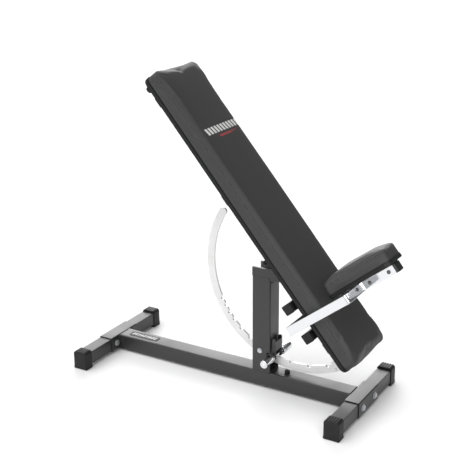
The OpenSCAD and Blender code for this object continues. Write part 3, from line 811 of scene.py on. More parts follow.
@dataclass
class Workshop:
    """Makes finished pieces and puts each one on its body."""

    made: list[str] = field(default_factory=list)

    def finish_mesh(self, mesh: bpy.types.Mesh, sharp: float) -> None:
        """Merges doubles, points the faces outwards and sets which edges stay sharp.

        Args:
            mesh: The mesh, in the row frame.
            sharp: Angle in degrees past which an edge is sharp.
        """
        work = bmesh.new()
        work.from_mesh(mesh)
        bmesh.ops.remove_doubles(work, verts=work.verts, dist=2e-6)
        bmesh.ops.recalc_face_normals(work, faces=work.faces)
        work.to_mesh(mesh)
        work.free()
        mesh.polygons.foreach_set("use_smooth", np.ones(len(mesh.polygons), bool))
        mesh.set_sharp_from_angle(angle=math.radians(sharp))

    def place(
        self, mesh: bpy.types.Mesh, body: Body, finish: Finish, slot: Slot | None, nodes: tuple[str, ...]
    ) -> bpy.types.Object:
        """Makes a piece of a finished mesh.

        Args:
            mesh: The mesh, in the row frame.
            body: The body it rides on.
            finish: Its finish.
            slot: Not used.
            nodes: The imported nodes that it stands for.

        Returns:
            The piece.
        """
        piece = bpy.data.objects.new(mesh.name, mesh)
        bpy.context.scene.collection.objects.link(piece)
        mesh.materials.clear()
        mesh.materials.append(finish.material())
        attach(piece, body.value)
        if nodes:
            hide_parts(*nodes)
        self.made.append(piece.name)
        LOG.info("%s: %d faces on %s", piece.name, len(mesh.polygons), body.value)
        return piece

    def add(
        self,
        name: str,
        shape: Shape,
        place: Place,
        body: Body,
        finish: Finish,
        slot: Slot | None = None,
        nodes: tuple[str, ...] = (),
        sharp: float = 38.0,
    ) -> bpy.types.Object:
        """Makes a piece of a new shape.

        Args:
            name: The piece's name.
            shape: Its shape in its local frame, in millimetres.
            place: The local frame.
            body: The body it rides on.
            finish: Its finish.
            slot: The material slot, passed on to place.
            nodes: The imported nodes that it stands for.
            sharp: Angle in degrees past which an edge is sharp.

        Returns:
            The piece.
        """
        mesh = bpy.data.meshes.new(name)
        faces = [face for group in shape.faces for face in group.tolist()]
        mesh.from_pydata(place.out(shape.points).tolist(), [], faces)
        self.finish_mesh(mesh, sharp)
        return self.place(mesh, body, finish, slot, nodes)

    def soften(
        self,
        name: str,
        nodes: tuple[str, ...],
        body: Body,
        finish: Finish,
        slot: Slot,
        edge: float,
        steps: int = 2,
    ) -> bpy.types.Object:
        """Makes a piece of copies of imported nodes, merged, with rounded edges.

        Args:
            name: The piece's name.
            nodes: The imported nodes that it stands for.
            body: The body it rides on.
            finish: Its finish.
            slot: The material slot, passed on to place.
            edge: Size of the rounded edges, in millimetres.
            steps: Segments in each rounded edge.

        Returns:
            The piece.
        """
        work = bmesh.new()
        for node in nodes:
            work.from_mesh(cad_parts[node].data)
        bmesh.ops.remove_doubles(work, verts=work.verts, dist=5e-6)
        bmesh.ops.dissolve_limit(
            work, angle_limit=math.radians(0.4), verts=work.verts, edges=work.edges, delimit={"NORMAL"}
        )
        mesh = bpy.data.meshes.new(name)
        work.to_mesh(mesh)
        work.free()
        self.finish_mesh(mesh, 32.0)
        piece = self.place(mesh, body, finish, slot, nodes)
        bevel = piece.modifiers.new("rounded_edges", "BEVEL")
        bevel.width = edge * MM
        bevel.segments = steps
        bevel.limit_method = "ANGLE"
        bevel.angle_limit = math.radians(32.0)
        bevel.harden_normals = True
        return piece


# Base


@dataclass
class Feet:
    """The four end caps: a flared block with a ribbed top, open towards the leg."""

    leg_x: tuple[float, float] = (-584.0, 386.0)
    inner_y: float = 192.0
    outer_y: float = 229.0
    floor_half: float = 28.0
    top_half: float = 26.5
    height: float = 67.0
    shoulder: float = 14.0
    chamfer: float = 7.0
    ribs: int = 5
    rib_depth: float = 1.5
    mouth: float = 24.2

    def section(self) -> Array:
        """Gives the cap's outline in X and Z: straight lines between corners, walked evenly
        and averaged along the walk, which rounds every corner, with a cosine cut into the
        top for the ribs."""
        corners = np.array(
            [
                (self.floor_half, 0.0),
                (self.top_half, self.shoulder),
                (self.top_half, self.height - self.chamfer),
                (self.top_half - self.chamfer, self.height),
                (self.chamfer - self.top_half, self.height),
                (-self.top_half, self.height - self.chamfer),
                (-self.top_half, self.shoulder),
                (-self.floor_half, 0.0),
                (self.floor_half, 0.0),
            ]
        )
        walked = np.concatenate([[0], np.cumsum(np.linalg.norm(np.diff(corners, axis=0), axis=1))])
        at = np.linspace(0, walked[-1], 200, endpoint=False)
        line = np.stack([np.interp(at, walked, corners[:, i]) for i in (0, 1)], -1)
        smooth = sum(np.roll(line, shift, 0) for shift in range(-2, 3)) / 5
        reach = self.top_half - self.chamfer
        wave = np.cos(smooth[:, 0] / (2 * reach) * 2 * np.pi * (self.ribs - 0.5))
        on_top = np.clip((smooth[:, 1] - self.height + 2.5) / 2.5, 0, 1)
        smooth[:, 1] -= on_top * self.rib_depth * (0.5 - 0.5 * wave)
        return smooth

    def shape(self) -> Shape:
        """Lofts the outline along the leg, rounded at both ends, then turns back through the
        mouth that the leg enters."""
        line = self.section()
        middle = np.array([0.0, self.height / 2 + 1.5])
        arm = line - middle
        reach = np.linalg.norm(arm, axis=1, keepdims=True)
        stations = [
            (self.inner_y + 1.2, 0.0), (self.inner_y + 2.4, 0.0), (self.outer_y - 4.0, 0.0),
            (self.outer_y - 2.2, 0.35), (self.outer_y - 0.9, 1.2), (self.outer_y - 0.2, 2.6),
            (self.outer_y, 4.4),
        ]
        lip = [(self.inner_y + 0.4, 0.3), (self.inner_y, 1.0)]
        rings = []
        for y, inset in [*reversed(stations), *lip]:
            flat = middle + arm * (1 - inset / reach)
            flat[:, 1] = np.maximum(flat[:, 1], 0.0)
            rings.append(np.stack([flat[:, 0], np.full(len(flat), y), flat[:, 1]], -1))
        angles = np.arctan2(arm[:, 1], arm[:, 0])
        square = self.mouth / np.maximum(np.abs(np.cos(angles)), np.abs(np.sin(angles)))
        square = np.minimum(square, self.mouth * 1.3)
        for y, gain in ((self.inner_y, 0.8), (self.inner_y + 0.8, 0.0), (self.inner_y + 9.0, 0.0)):
            size = np.minimum(square + gain, reach[:, 0] - 1.2)
            hole = middle + np.stack([size * np.cos(angles), size * np.sin(angles)], -1)
            rings.append(np.stack([hole[:, 0], np.full(len(hole), y), hole[:, 1]], -1))
        return loft(np.stack(rings))

    def build(self, shop: Workshop) -> None:
        """Makes the four caps."""
        cap = self.shape()
        for end, x in zip(("rear", "front"), self.leg_x):
            for side in Side:
                shape = cap if side is Side.LEFT else cap.flipped()
                node = f"{end}_{side.name.lower()}_foot"
                shop.add(
                    f"{node}_cap", shape.moved((x, 0, 0)), ON_BASE, Body.BASE, PLASTIC, Slot.PLASTIC, (node,)
                )


@dataclass
class Base:
    """The floor frame: rail, sleeves, cross legs, their bolts and welds, badge and bumper."""

    leg_x: tuple[float, float] = (-584.0, 386.0)
    sleeve_half: float = 27.0
    rail_half: float = 32.0
    rail_low: float = 8.0
    rail_top: float = 62.0
    bolt_y: float = 47.0
    bolt_z: float = 35.0
    bolt_across: float = 17.0
    bolt_height: float = 6.4
    bumper_x: float = 117.0
    badge_x: float = -465.0
    badge_bars: int = 9
    feet: Feet = field(default_factory=Feet)

    def build(self, shop: Workshop) -> None:
        """Makes every piece of the floor frame."""
        steel = ("main_rail", "rear_sleeve", "front_sleeve", "rear_leg", "front_leg")
        for node in steel:
            shop.soften(f"{node}_steel", (node,), Body.BASE, STEEL, Slot.STEEL, 0.7)
        self.feet.build(shop)
        self.bolts(shop)
        self.welds(shop)
        self.badge(shop)
        bumper = lathe([
            (0, 0), (0, 8.6), (0.6, 9.0), (8.2, 9.0), (10.2, 7.6),
            (11, 5.2), (11, 2.2), (9.4, 1.6), (9.4, 0),
        ])
        upright = np.array([[1.0, 0, 0], [0, 0, 1], [0, 1, 0]])
        shape = bumper.turned(upright).moved((self.bumper_x, 0, self.rail_top))
        shop.add("rail_bumper_rubber", shape, ON_BASE, Body.BASE, RUBBER, Slot.RUBBER, ("rail_bumper",))

    def bolts(self, shop: Workshop) -> None:
        """Makes the hexagon bolts that hold the cross legs in their sleeves."""
        head = hex_head(self.bolt_across, self.bolt_height, 1.6)
        to_x = np.array([[0.0, 1, 0], [-1, 0, 0], [0, 0, 1]])
        spots = np.array(
            [(x + self.sleeve_half, s.value * self.bolt_y, self.bolt_z) for x in self.leg_x for s in Side]
        )
        shape = head.turned(to_x).repeated(spots)
        shop.add("leg_bolt_heads", shape, ON_BASE, Body.BASE, ZINC, Slot.ZINC, ("leg_bolts",))

    def welds(self, shop: Workshop) -> None:
        """Makes the beads where the rail meets the sleeves and where the post meets the rail."""
        beads = []
        for x in (self.leg_x[0] + self.sleeve_half, self.leg_x[1] - self.sleeve_half):
            low, top, half = self.rail_low + 5, self.rail_top, self.rail_half
            beads += [
                weld_bead((x, -half + 4, top - 0.6), (x, half - 4, top - 0.6), 2.2),
                weld_bead((x, -half + 0.6, low), (x, -half + 0.6, top - 4), 2.2),
                weld_bead((x, half - 0.6, low), (x, half - 0.6, top - 4), 2.2),
            ]
        shop.add("rail_welds", joined(*beads), ON_BASE, Body.BASE, STEEL, Slot.STEEL, sharp=60)

    def badge(self, shop: Workshop) -> None:
        """Makes the plain badge: a dark plate with a row of slanted bars, and no lettering."""
        shop.soften("badge_plate_enamel", ("badge_plate",), Body.BASE, PLASTIC, Slot.ZINC, 0.3)
        bar = rounded_block((6.4, 15.0, 0.5), 1.0, 0.2)
        slant = np.array([[1.0, 0.35, 0], [0, 1, 0], [0, 0, 1]])
        places = np.linspace(-46, 46, self.badge_bars)
        spots = np.array([(self.badge_x + x, 0, self.rail_top + 1.1) for x in places])
        shop.add("badge_bars", bar.turned(slant).repeated(spots), ON_BASE, Body.BASE, WHITE_INK)


@dataclass
class Post:
    """The upright post with its ears, stop plate, pivot bolt, latch bolt and spring."""

    depth: float = 68.0
    half: float = 33.0
    foot_z: float = 62.0
    top_z: float = 403.0
    pivot: tuple[float, float] = (149.0, 420.0)
    latch: tuple[float, float] = (30.0, 138.007)
    pivot_across: float = 19.0
    latch_across: float = 13.0

    def build(self, shop: Workshop) -> None:
        """Makes every piece of the post."""
        for node in ("upright_post", "post_stop_plate", "right_ear", "left_ear"):
            shop.soften(f"{node}_steel", (node,), Body.BASE, STEEL, Slot.STEEL, 0.8)
        self.fasteners(shop)
        self.welds(shop)
        coil = helix(6.1, 2.0, 2.15, 5.1, 16.0).moved((self.latch[0], -15.6, self.latch[1]))
        shop.add("latch_spring_wire", coil, ON_BASE, Body.BASE, ZINC, Slot.ZINC, ("latch_spring",))

    def fasteners(self, shop: Workshop) -> None:
        """Makes the pivot bolt and the latch bolt with their heads, nuts and washers."""
        for name, at, across, radius, head, nut in (
            ("pivot", self.pivot, self.pivot_across, 6.35, 8.0, 8.0),
            ("latch", self.latch, self.latch_across, 4.0, 5.0, 7.0),
        ):
            half = self.half
            shank = lathe([
                (-half, 0), (-half, radius), (half + nut + 1.2, radius),
                (half + nut + 2, radius - 0.8), (half + nut + 2, 0),
            ])
            bolt = joined(shank, hex_head(across, head, 1.4, flip=True).moved((0, -half, 0)))
            spot = (at[0], 0, at[1])
            shop.add(
                f"{name}_bolt_metal", bolt.moved(spot), ON_BASE, Body.BASE, ZINC, Slot.ZINC, (f"{name}_bolt",)
            )
            shape = hex_head(across, nut, 1.4).moved((at[0], half, at[1]))
            shop.add(f"{name}_nut_metal", shape, ON_BASE, Body.BASE, ZINC, Slot.ZINC, (f"{name}_nut",))

    def welds(self, shop: Workshop) -> None:
        """Makes the beads round the post's foot and along the ears' roots."""
        h, d, low, top = self.half, self.depth, self.foot_z, self.top_z
        beads = [
            weld_bead((0.4, -h + 4, low), (0.4, h - 4, low), 2.4),
            weld_bead((d - 0.4, -h + 4, low), (d - 0.4, h - 4, low), 2.4),
            weld_bead((4, -h + 0.9, low + 0.4), (d - 4, -h + 0.9, low + 0.4), 2.4, 5.0),
            weld_bead((4, h - 0.9, low + 0.4), (d - 4, h - 0.9, low + 0.4), 2.4, 5.0),
            weld_bead((3, -h + 0.5, top), (d - 2, -h + 0.5, top), 1.5, 5.0),
            weld_bead((3, h - 0.5, top), (d - 2, h - 0.5, top), 1.5, 5.0),
        ]
        shop.add("post_welds", joined(*beads), ON_BASE, Body.BASE, STEEL, Slot.STEEL, sharp=60)


# Cushions


@dataclass(frozen=True)
class Cushion:
    """A boxed cushion of foam under vinyl: a top panel sewn to a side band just below the
    rounded edge. Sizes are in millimetres, in the frame that it is made in."""

    name: str
    node: str
    body: Body
    place: Place
    middle_x: float
    length: float
    width: float
    nose: float
    corner: float
    low: float
    high: float
    crown: float = 4.0
    swell: float = 5.0
    pressure: float = 3.0
    seam_drop: float = 11.0
    edge: float = 9.0
    groove: float = 1.5
    step: float = 4.5
    voxel: float = 0.005
    stitch_pitch: float = 6.5
    fill: float = 0.9

    def rings(self, inset: Array, height: Array, depth: float) -> Array:
        """Gives rings of points at insets from the outline. The outline is drawn in along its
        normals as far as the corners allow, and beyond that it is drawn towards the middle
        line, so that the last ring closes on it.

        Args:
            inset: Distance in from the outline for each ring.
            height: Height of each ring.
            depth: Inset at which the rings reach the middle line.

        Returns:
            The rings, (rings, points, 3).
        """
        line, normal = tapered_outline(self.length, self.width, self.nose, self.corner, self.step)
        shallow = min(0.7 * self.corner, 0.5 * depth)
        near = np.minimum(inset, shallow)[:, None, None]
        share = np.clip((inset - shallow) / (depth - shallow), 0, 1)[:, None, None]
        spine = max(self.length - self.width, 0) / 2
        middle = np.stack([np.clip(line[:, 0], -spine, spine), np.zeros(len(line))], -1)
        flat = (line[None] - near * normal[None]) * (1 - share) + middle[None] * share
        rise = np.broadcast_to(height[:, None, None], (*flat.shape[:2], 1))
        points = np.concatenate([flat, rise], -1)
        points[..., 0] += self.middle_x
        return points

    def rows(self) -> tuple[Array, Array]:
        """Gives the inset and height of each ring from the middle of the underside round the
        edge to the middle of the top, close together at the seam."""
        depth, low, high = self.width / 2, self.low, self.high
        seam = high - self.seam_drop
        turn = np.concatenate([np.arcsin(np.linspace(0, 0.62, 9)), np.linspace(0.78, np.pi / 2, 7)])
        under = np.linspace(depth, 6.0, 8)
        side = np.linspace(low + 4.5, seam - 6, 9)
        fine = np.arange(seam - 5, high - self.edge - 0.3, 0.55)
        over = np.linspace(self.edge, depth, round((depth - self.edge) / self.step) + 1)[1:]
        inset = np.concatenate([under, [2.6, 0.8], 0 * side, 0 * fine, self.edge * (1 - np.cos(turn)), over])
        height = np.concatenate(
            [
                0 * under + low,
                [low + 0.6, low + 2.2],
                side,
                fine,
                high - self.edge * (1 - np.sin(turn)),
                0 * over + high,
            ]
        )
        return inset, height

    def swollen(self, rings: Array) -> Array:
        """Gives the rings after the cushion has swelled under its cover.

        A smaller closed copy is remeshed, its underside is pinned, and it is blown up a
        little as cloth. Each point moves no further than the swell. The rings are then laid
        on the swollen surface.

        Args:
            rings: The drawn rings, (rings, points, 3), in millimetres.

        Returns:
            The rings on the swollen surface.
        """
        inset, height = self.rows()
        small = self.rings(inset + self.swell * (height > self.low + 1), height, self.width / 2)
        small[..., 2] -= self.swell * (small[..., 2] - self.low) / (self.high - self.low)
        body = self.helper("swell", loft(small * MM))
        remesh = body.modifiers.new("voxels", "REMESH")
        remesh.voxel_size = self.voxel
        self.bake(body)
        start = self.points_of(body)
        pinned = body.vertex_groups.new(name="pinned")
        weights = np.nonzero(start[:, 2] < (self.low + 3.0) * MM)[0]
        pinned.add(weights.tolist(), 1.0, "REPLACE")
        self.blow_up(body)
        moved = self.points_of(body) - start
        far = np.linalg.norm(moved, axis=1, keepdims=True)
        held = start + moved * np.minimum(1.0, self.swell * 1.15 * MM / np.maximum(far, 1e-9))
        held[:, 2] = np.maximum(held[:, 2], self.low * MM)
        body.data.vertices.foreach_set("co", held.astype(np.float32).ravel())
        body.data.update()
        skin = self.helper("skin", loft(rings * MM))
        wrap = skin.modifiers.new("laid", "SHRINKWRAP")
        wrap.target = body
        wrap.wrap_method = "NEAREST_SURFACEPOINT"
        self.bake(skin)
        laid = self.points_of(skin).reshape(rings.shape) / MM
        for helper in (body, skin):
            mesh = helper.data
            bpy.data.objects.remove(helper)
            bpy.data.meshes.remove(mesh)
        return laid

    def helper(self, word: str, shape: Shape) -> bpy.types.Object:
        """Makes a working object that is removed before the script ends."""
        mesh = bpy.data.meshes.new(f"{self.name}_{word}")
        mesh.from_pydata(shape.points.tolist(), [], [f for group in shape.faces for f in group.tolist()])
        thing = bpy.data.objects.new(mesh.name, mesh)
        bpy.context.scene.collection.objects.link(thing)
        return thing

    @staticmethod
    def points_of(thing: bpy.types.Object) -> Array:
        """Gives an object's own points, (n, 3)."""
        flat = np.empty(len(thing.data.vertices) * 3, np.float32)
        thing.data.vertices.foreach_get("co", flat)
        return flat.reshape(-1, 3).astype(float)

    @staticmethod
    def bake(thing: bpy.types.Object) -> None:
        """Applies an object's modifiers as they stand."""
        graph = bpy.context.evaluated_depsgraph_get()
        mesh = bpy.data.meshes.new_from_object(thing.evaluated_get(graph), depsgraph=graph)
        thing.modifiers.clear()
        old = thing.data
        thing.data = mesh
        bpy.data.meshes.remove(old)

    def blow_up(self, body: bpy.types.Object) -> None:
        """Runs the cloth simulation on the working object and applies it."""
        cloth = body.modifiers.new("cloth", "CLOTH")
        cloth.settings.quality = 4
        cloth.settings.mass = 0.4
        cloth.settings.tension_stiffness = 25
        cloth.settings.compression_stiffness = 25
        cloth.settings.shear_stiffness = 10
        cloth.settings.bending_stiffness = 4
        cloth.settings.use_pressure = True
        cloth.settings.uniform_pressure_force = self.pressure
        cloth.settings.vertex_group_mass = "pinned"
        cloth.settings.effector_weights.gravity = 0
        cloth.collision_settings.use_collision = False
        cloth.point_cache.frame_start, cloth.point_cache.frame_end = 1, 20
        for step in range(1, 21):
            bpy.context.scene.frame_set(step)
        self.bake(body)
        bpy.context.scene.frame_set(1)

    def surface(self) -> Array:
        """Gives the finished skin as rings: the swollen form with a sewn groove pressed in
        along the seam, a soft ridge below it, small gathers in the band round the corners,
        and a shallow crown."""
        inset, height = self.rows()
        rings = self.rings(inset, height, self.width / 2)
        high, low = self.high, self.low
        form = rings.copy()
        form = self.swollen(rings)
        outward = self.normals(form)
        seam = high - self.seam_drop
        z = height[:, None]
        on_band = ((inset < 2)[:, None]) * np.clip((z - low) / 6, 0, 1)
        along = np.concatenate([[0], np.cumsum(np.linalg.norm(np.diff(rings[20], axis=0), axis=1))])
        _, normal = tapered_outline(self.length, self.width, self.nose, self.corner, self.step)
        bend = 4 * (normal[:, 0] * normal[:, 1]) ** 2
        sewn = -self.groove * np.exp(-(((z - seam) / 1.1) ** 2))
        ridge = 0.7 * np.exp(-(((z - seam + 3.4) / 2.0) ** 2))
        ridge = ridge + 0.5 * np.exp(-(((z - seam - 3.2) / 1.8) ** 2))
        pucker = 0.22 * np.cos(2 * np.pi * along / (2 * self.stitch_pitch))
        pucker = pucker * np.exp(-(((z - seam) / 5.0) ** 2))
        gather = 0.55 * bend * np.cos(2 * np.pi * along / 8.5) * np.exp(-(((z - low - 8) / 9.0) ** 2))
        slack = 0.35 * np.sin(along / 47.0 + 1.3) * np.sin(along / 19.0)
        slack = slack * np.sin(np.pi * np.clip((z - low) / (seam - low), 0, 1))
        push = on_band * (sewn + ridge + pucker + gather + slack)
        share = np.clip((inset - self.edge * 0.4) / (self.width / 2), 0, 1)
        rise = self.crown * (1 - (1 - share) ** 3) * (height > (low + high) / 2)
        return form + push[..., None] * outward + rise[:, None, None] * np.array([0.0, 0.0, 1.0])

    @staticmethod
    def normals(rings: Array) -> Array:
        """Gives the outward direction at each point of the rings."""
        around = np.roll(rings, -1, 1) - np.roll(rings, 1, 1)
        along = np.gradient(rings, axis=0)
        out = np.cross(around, along)
        return out / np.maximum(np.linalg.norm(out, axis=-1, keepdims=True), 1e-9)

    def build(self, shop: Workshop) -> Array:
        """Makes the cushion and its stitching.

        Args:
            shop: Where pieces are made.

        Returns:
            The skin's rings, for prints that lie on it.
        """
        skin = self.surface()
        piece = shop.add(
            f"{self.name}_vinyl", loft(skin), self.place, self.body, VINYL, Slot.VINYL, (self.node,), 70
        )
        self.stitch(shop, skin)
        return skin

    def stitch(self, shop: Workshop, skin: Array) -> None:
        """Makes two rows of stitches, one on each side of the seam."""
        inset, height = self.rows()
        seam = self.high - self.seam_drop
        outward = self.normals(skin)
        capsule = loft(
            np.stack(
                [
                    np.concatenate([np.full((6, 1), x), circle(r, 6)], 1)
                    for x, r in ((-1.9, 0.12), (-1.5, 0.42), (0.0, 0.52), (1.5, 0.42), (1.9, 0.12))
                ]
            )
        )
        rows = []
        for offset in (-2.3, 2.3):
            row = int(np.argmin(np.abs(height - seam - offset) + 100 * (inset > 0.5)))
            ring = np.concatenate([skin[row], skin[row][:1]])
            lift = np.concatenate([outward[row], outward[row][:1]])
            walked = np.concatenate([[0], np.cumsum(np.linalg.norm(np.diff(ring, axis=0), axis=1))])
            at = np.linspace(0, walked[-1], round(walked[-1] / self.stitch_pitch), endpoint=False)
            spot = np.stack([np.interp(at, walked, ring[:, i]) for i in range(3)], -1)
            out = np.stack([np.interp(at, walked, lift[:, i]) for i in range(3)], -1)
            out /= np.linalg.norm(out, axis=1, keepdims=True)
            beyond = [np.interp(at + 1, walked, ring[:, i], period=walked[-1]) for i in range(3)]
            ahead = np.stack(beyond, -1) - spot
            ahead -= out * np.sum(ahead * out, axis=1, keepdims=True)
            ahead /= np.linalg.norm(ahead, axis=1, keepdims=True)
            turns = np.stack([ahead, np.cross(out, ahead), out], -1)
            rows.append(capsule.repeated(spot + 0.1 * out, turns))
        shop.add(f"{self.name}_stitching", joined(*rows), self.place, self.body, THREAD, Slot.VINYL, sharp=80)


@dataclass(frozen=True)
class Underside:
    """The vinyl's hem, folded round a board's edge and stapled under it, in a darker vinyl that is painted
    shade for the shadow under the cushion's edge.
    """

    name: str
    body: Body
    place: Place
    middle_x: float
    length: float
    width: float
    nose: float
    corner: float
    low: float
    high: float
    reach: float = 22.0
    thick: float = 0.9
    staple_pitch: float = 30.0

    def build(self, shop: Workshop) -> None:
        """Makes the hem, as a thin strip from the board's side round under it whose inner
        edge wavers, and the staples that hold it."""
        line, normal = tapered_outline(self.length, self.width, self.nose, self.corner, 5.0)
        walked = np.concatenate([[0], np.cumsum(np.linalg.norm(np.diff(line, axis=0), axis=1))])
        waver = 1.4 * np.sin(walked / 13.0) + 1.1 * np.sin(walked / 5.3 + 0.7)
        fold = 0.35 * (1 + np.sin(walked / 3.1)) * (4 * (normal[:, 0] * normal[:, 1]) ** 2 + 0.25)
        reach = min(self.reach, 0.8 * self.corner)
        low, t = self.low, self.thick
        section = [
            (0.02 * np.ones_like(walked), self.high),
            (t + fold * 0.5, self.high),
            (t + fold * 0.6, low + 1.0),
            (t * 0.4 + 0 * fold, low - t * 0.7),
            (-1.5 + 0 * fold, low - t - fold),
            (-reach * 0.5 + 0 * fold, low - t - 0.7 * fold),
            (-reach + waver, low - t * 0.8 - 0 * fold),
            (-reach + waver, low + 0.1 + 0 * fold),
            (-1.0 + 0 * fold, low + 0.1 + 0 * fold),
        ]
        rings = []
        for out, z in section:
            flat = line + np.asarray(out)[:, None] * normal
            level = np.broadcast_to(np.asarray(z, float).reshape(-1, 1), (len(line), 1))
            rings.append(np.concatenate([flat, level], 1))
        hem = loft(np.stack(rings, 1), looped=True).moved((self.middle_x, 0, 0))
        # The hem's darker vinyl is painted shade under the cushion's edge.
        shop.add(f"{self.name}_hem", hem, self.place, self.body, SHADED_HEM, Slot.VINYL, sharp=60)
        at = np.linspace(0, walked[-1], round(walked[-1] / self.staple_pitch), endpoint=False) + 9
        spot = np.stack([np.interp(at, walked, (line - normal * reach * 0.55)[:, i]) for i in (0, 1)], -1)
        face = np.stack([np.interp(at, walked, normal[:, i]) for i in (0, 1)], -1)
        flat = np.stack([-face[:, 1], face[:, 0], np.zeros(len(at))], -1)
        down = np.tile([0.0, 0.0, -1.0], (len(at), 1))
        turns = np.stack([flat, np.cross(down, flat), down], -1)
        wire = rounded_block((11.0, 1.3, 1.0), 0.5, 0.25)
        spots = np.concatenate([spot, np.full((len(at), 1), low - t - 0.8)], 1)
        staples = wire.repeated(spots, turns).moved((self.middle_x, 0, 0))
        shop.add(f"{self.name}_staples", staples, self.place, self.body, ZINC, Slot.ZINC)


# Pad


@dataclass
class Pad:
    """The long pad: cushion, board, beam, cross tubes, stop, studs and the notched arc."""

    head: float = -787.0
    foot: float = 336.0
    width: float = 254.0
    corner: float = 28.0
    board: tuple[float, float] = (15.0, 27.0)
    top: float = 75.0
    beam_head: float = -745.0
    beam_foot: float = 328.0
    beam: tuple[float, float] = (48.0, 50.0)
    beam_low: float = -35.0
    peg_u: tuple[float, float] = (70.5, 178.5)
    peg_w: float = -15.0
    peg_side: float = 32.0
    peg_half: float = 131.0
    strap_u: tuple[float, float, float] = (-697.0, -322.0, 236.0)
    bolt_y: float = 100.0
    stud: tuple[float, float] = (-749.0, 111.0)
    stop: tuple[float, float, float] = (-92.5, 15.0, 36.0)
    stop_low: float = -72.0
    mark_u: float = -530.0

    def build(self, shop: Workshop) -> None:
        """Makes every piece of the pad."""
        steel = ("pad_beam", "pivot_sleeve", "upper_cross_tube", "lower_cross_tube")
        for node in (*steel, "head_straps", "middle_straps", "foot_straps"):
            shop.soften(f"{node}_steel", (node,), Body.PAD, STEEL, Slot.STEEL, 0.7)
        for node in ("arc_plate", "arc_bracket"):
            shop.soften(f"{node}_steel", (node,), Body.PAD, SATIN, Slot.ARC, 0.7)
        shop.soften("pad_board_wood", ("pad_board",), Body.PAD, BOARD, Slot.BOARD, 1.2)
        self.plastic(shop)
        self.fasteners(shop)
        self.welds(shop)
        middle, length = (self.head + self.foot) / 2, self.foot - self.head
        skin = Cushion(
            "pad_cushion", "pad_cushion", Body.PAD, ON_PAD,
            middle, length, self.width, self.width, self.corner,
            self.board[1], self.top
        ).build(shop)
        Underside(
            "pad", Body.PAD, ON_PAD,
            middle, length - 8, self.width - 8, self.width - 8, self.corner - 4, *self.board
        ).build(shop)
        self.mark(shop, skin)

    def plastic(self, shop: Workshop) -> None:
        """Makes the moulded parts: beam plugs, cross tube caps, pad stop and head studs."""
        wide, tall = self.beam
        upright = np.array([[0.0, 0, 1], [1, 0, 0], [0, 1, 0]])
        plug = rounded_block((wide, tall, 4.0), 5.0, 1.4).turned(upright)
        at = self.beam_low + tall / 2
        plugs = joined(plug.moved((self.beam_head - 2, 0, at)), plug.moved((self.beam_foot + 2, 0, at)))
        shop.add("beam_end_plugs", plugs, ON_PAD, Body.PAD, PLASTIC, Slot.PLASTIC, ("beam_plugs",))
        across = np.array([[1.0, 0, 0], [0, 0, 1], [0, -1, 0]])
        side = self.peg_side
        lid = rounded_block((side + 1.5, side + 1.5, 4.0), 3.4, 1.3).turned(across)
        core = rounded_block((side - 6, side - 6, 14.0), 2.0, 0.6).turned(across)
        caps = [
            both_sides(joined(
                lid.moved((u, self.peg_half - 2, self.peg_w)),
                core.moved((u, self.peg_half - 10.5, self.peg_w)),
            ))
            for u in self.peg_u
        ]
        shop.add(
            "cross_tube_end_caps", joined(*caps), ON_PAD, Body.PAD,
            PLASTIC, Slot.PLASTIC, ("cross_tube_caps",),
        )
        u, long, broad = self.stop
        tall = self.beam_low - self.stop_low
        block = rounded_block((long, broad, tall), 5.0, 3.0).moved((u, 0, self.stop_low + tall / 2))
        shop.add("pad_stop_rubber", block, ON_PAD, Body.PAD, RUBBER, Slot.RUBBER, ("pad_stop",))
        self.studs(shop)

    def studs(self, shop: Workshop) -> None:
        """Makes the two knurled studs under the head end: a short cylinder whose radius
        rises and falls round it, with a dished end."""
        angles = np.linspace(0, 2 * np.pi, 96, endpoint=False)
        knurl = 1 - 0.045 * (0.5 + 0.5 * np.cos(24 * angles))
        rows = [
            (0.0, 10.2, 0), (-0.8, 11.0, 1), (-9.6, 11.0, 1), (-11.2, 10.2, 1),
            (-12.0, 8.6, 0), (-12.0, 6.0, 0), (-11.0, 5.2, 0), (-11.0, 0.5, 0),
        ]
        rings = [
            np.stack([
                r * (knurl if k else 1) * np.cos(angles),
                r * (knurl if k else 1) * np.sin(angles),
                np.full_like(angles, z),
            ], -1)
            for z, r, k in rows
        ]
        u, y = self.stud
        stud = both_sides(loft(np.stack(rings)).moved((u, y, self.board[0])))
        shop.add("head_stud_knobs", stud, ON_PAD, Body.PAD, RUBBER, Slot.RUBBER, ("head_studs",))

    def fasteners(self, shop: Workshop) -> None:
        """Makes the hexagon bolts under the straps and the domed rivets of the arc."""
        down = np.array([[1.0, 0, 0], [0, 0, 1], [0, -1, 0]])
        head = hex_head(13.0, 4.0, 1.0).turned(down)
        spots = np.array([(u, s.value * self.bolt_y, self.board[0] - 4) for u in self.strap_u for s in Side])
        shop.add(
            "board_bolt_heads", head.repeated(spots), ON_PAD, Body.PAD, ZINC, Slot.ZINC, ("board_bolts",)
        )
        shop.soften("arc_rivet_heads", ("arc_rivets",), Body.PAD, SATIN, Slot.ARC, 1.4, 3)

    def welds(self, shop: Workshop) -> None:
        """Makes the beads along the straps and round the cross tubes."""
        half, beads = self.beam[0] / 2, []
        for u in self.strap_u:
            height = self.board[0] - 4.4
            beads.append(weld_bead((u - 15, half, height), (u + 15, half, height), 1.8))
        reach, low, top = self.peg_side / 2, self.peg_w - self.peg_side / 2, self.peg_w + self.peg_side / 2
        for u in self.peg_u:
            beads.append(weld_bead((u - reach, half, low + 2), (u - reach, half, top - 2), 2.0))
            beads.append(weld_bead((u + reach, half, low + 2), (u + reach, half, top - 2), 2.0))
            beads.append(weld_bead((u - reach + 2, half, low), (u + reach - 2, half, low), 2.0))
        shape = both_sides(joined(*beads))
        shop.add("pad_welds", shape, ON_PAD, Body.PAD, STEEL, Slot.STEEL, sharp=60)

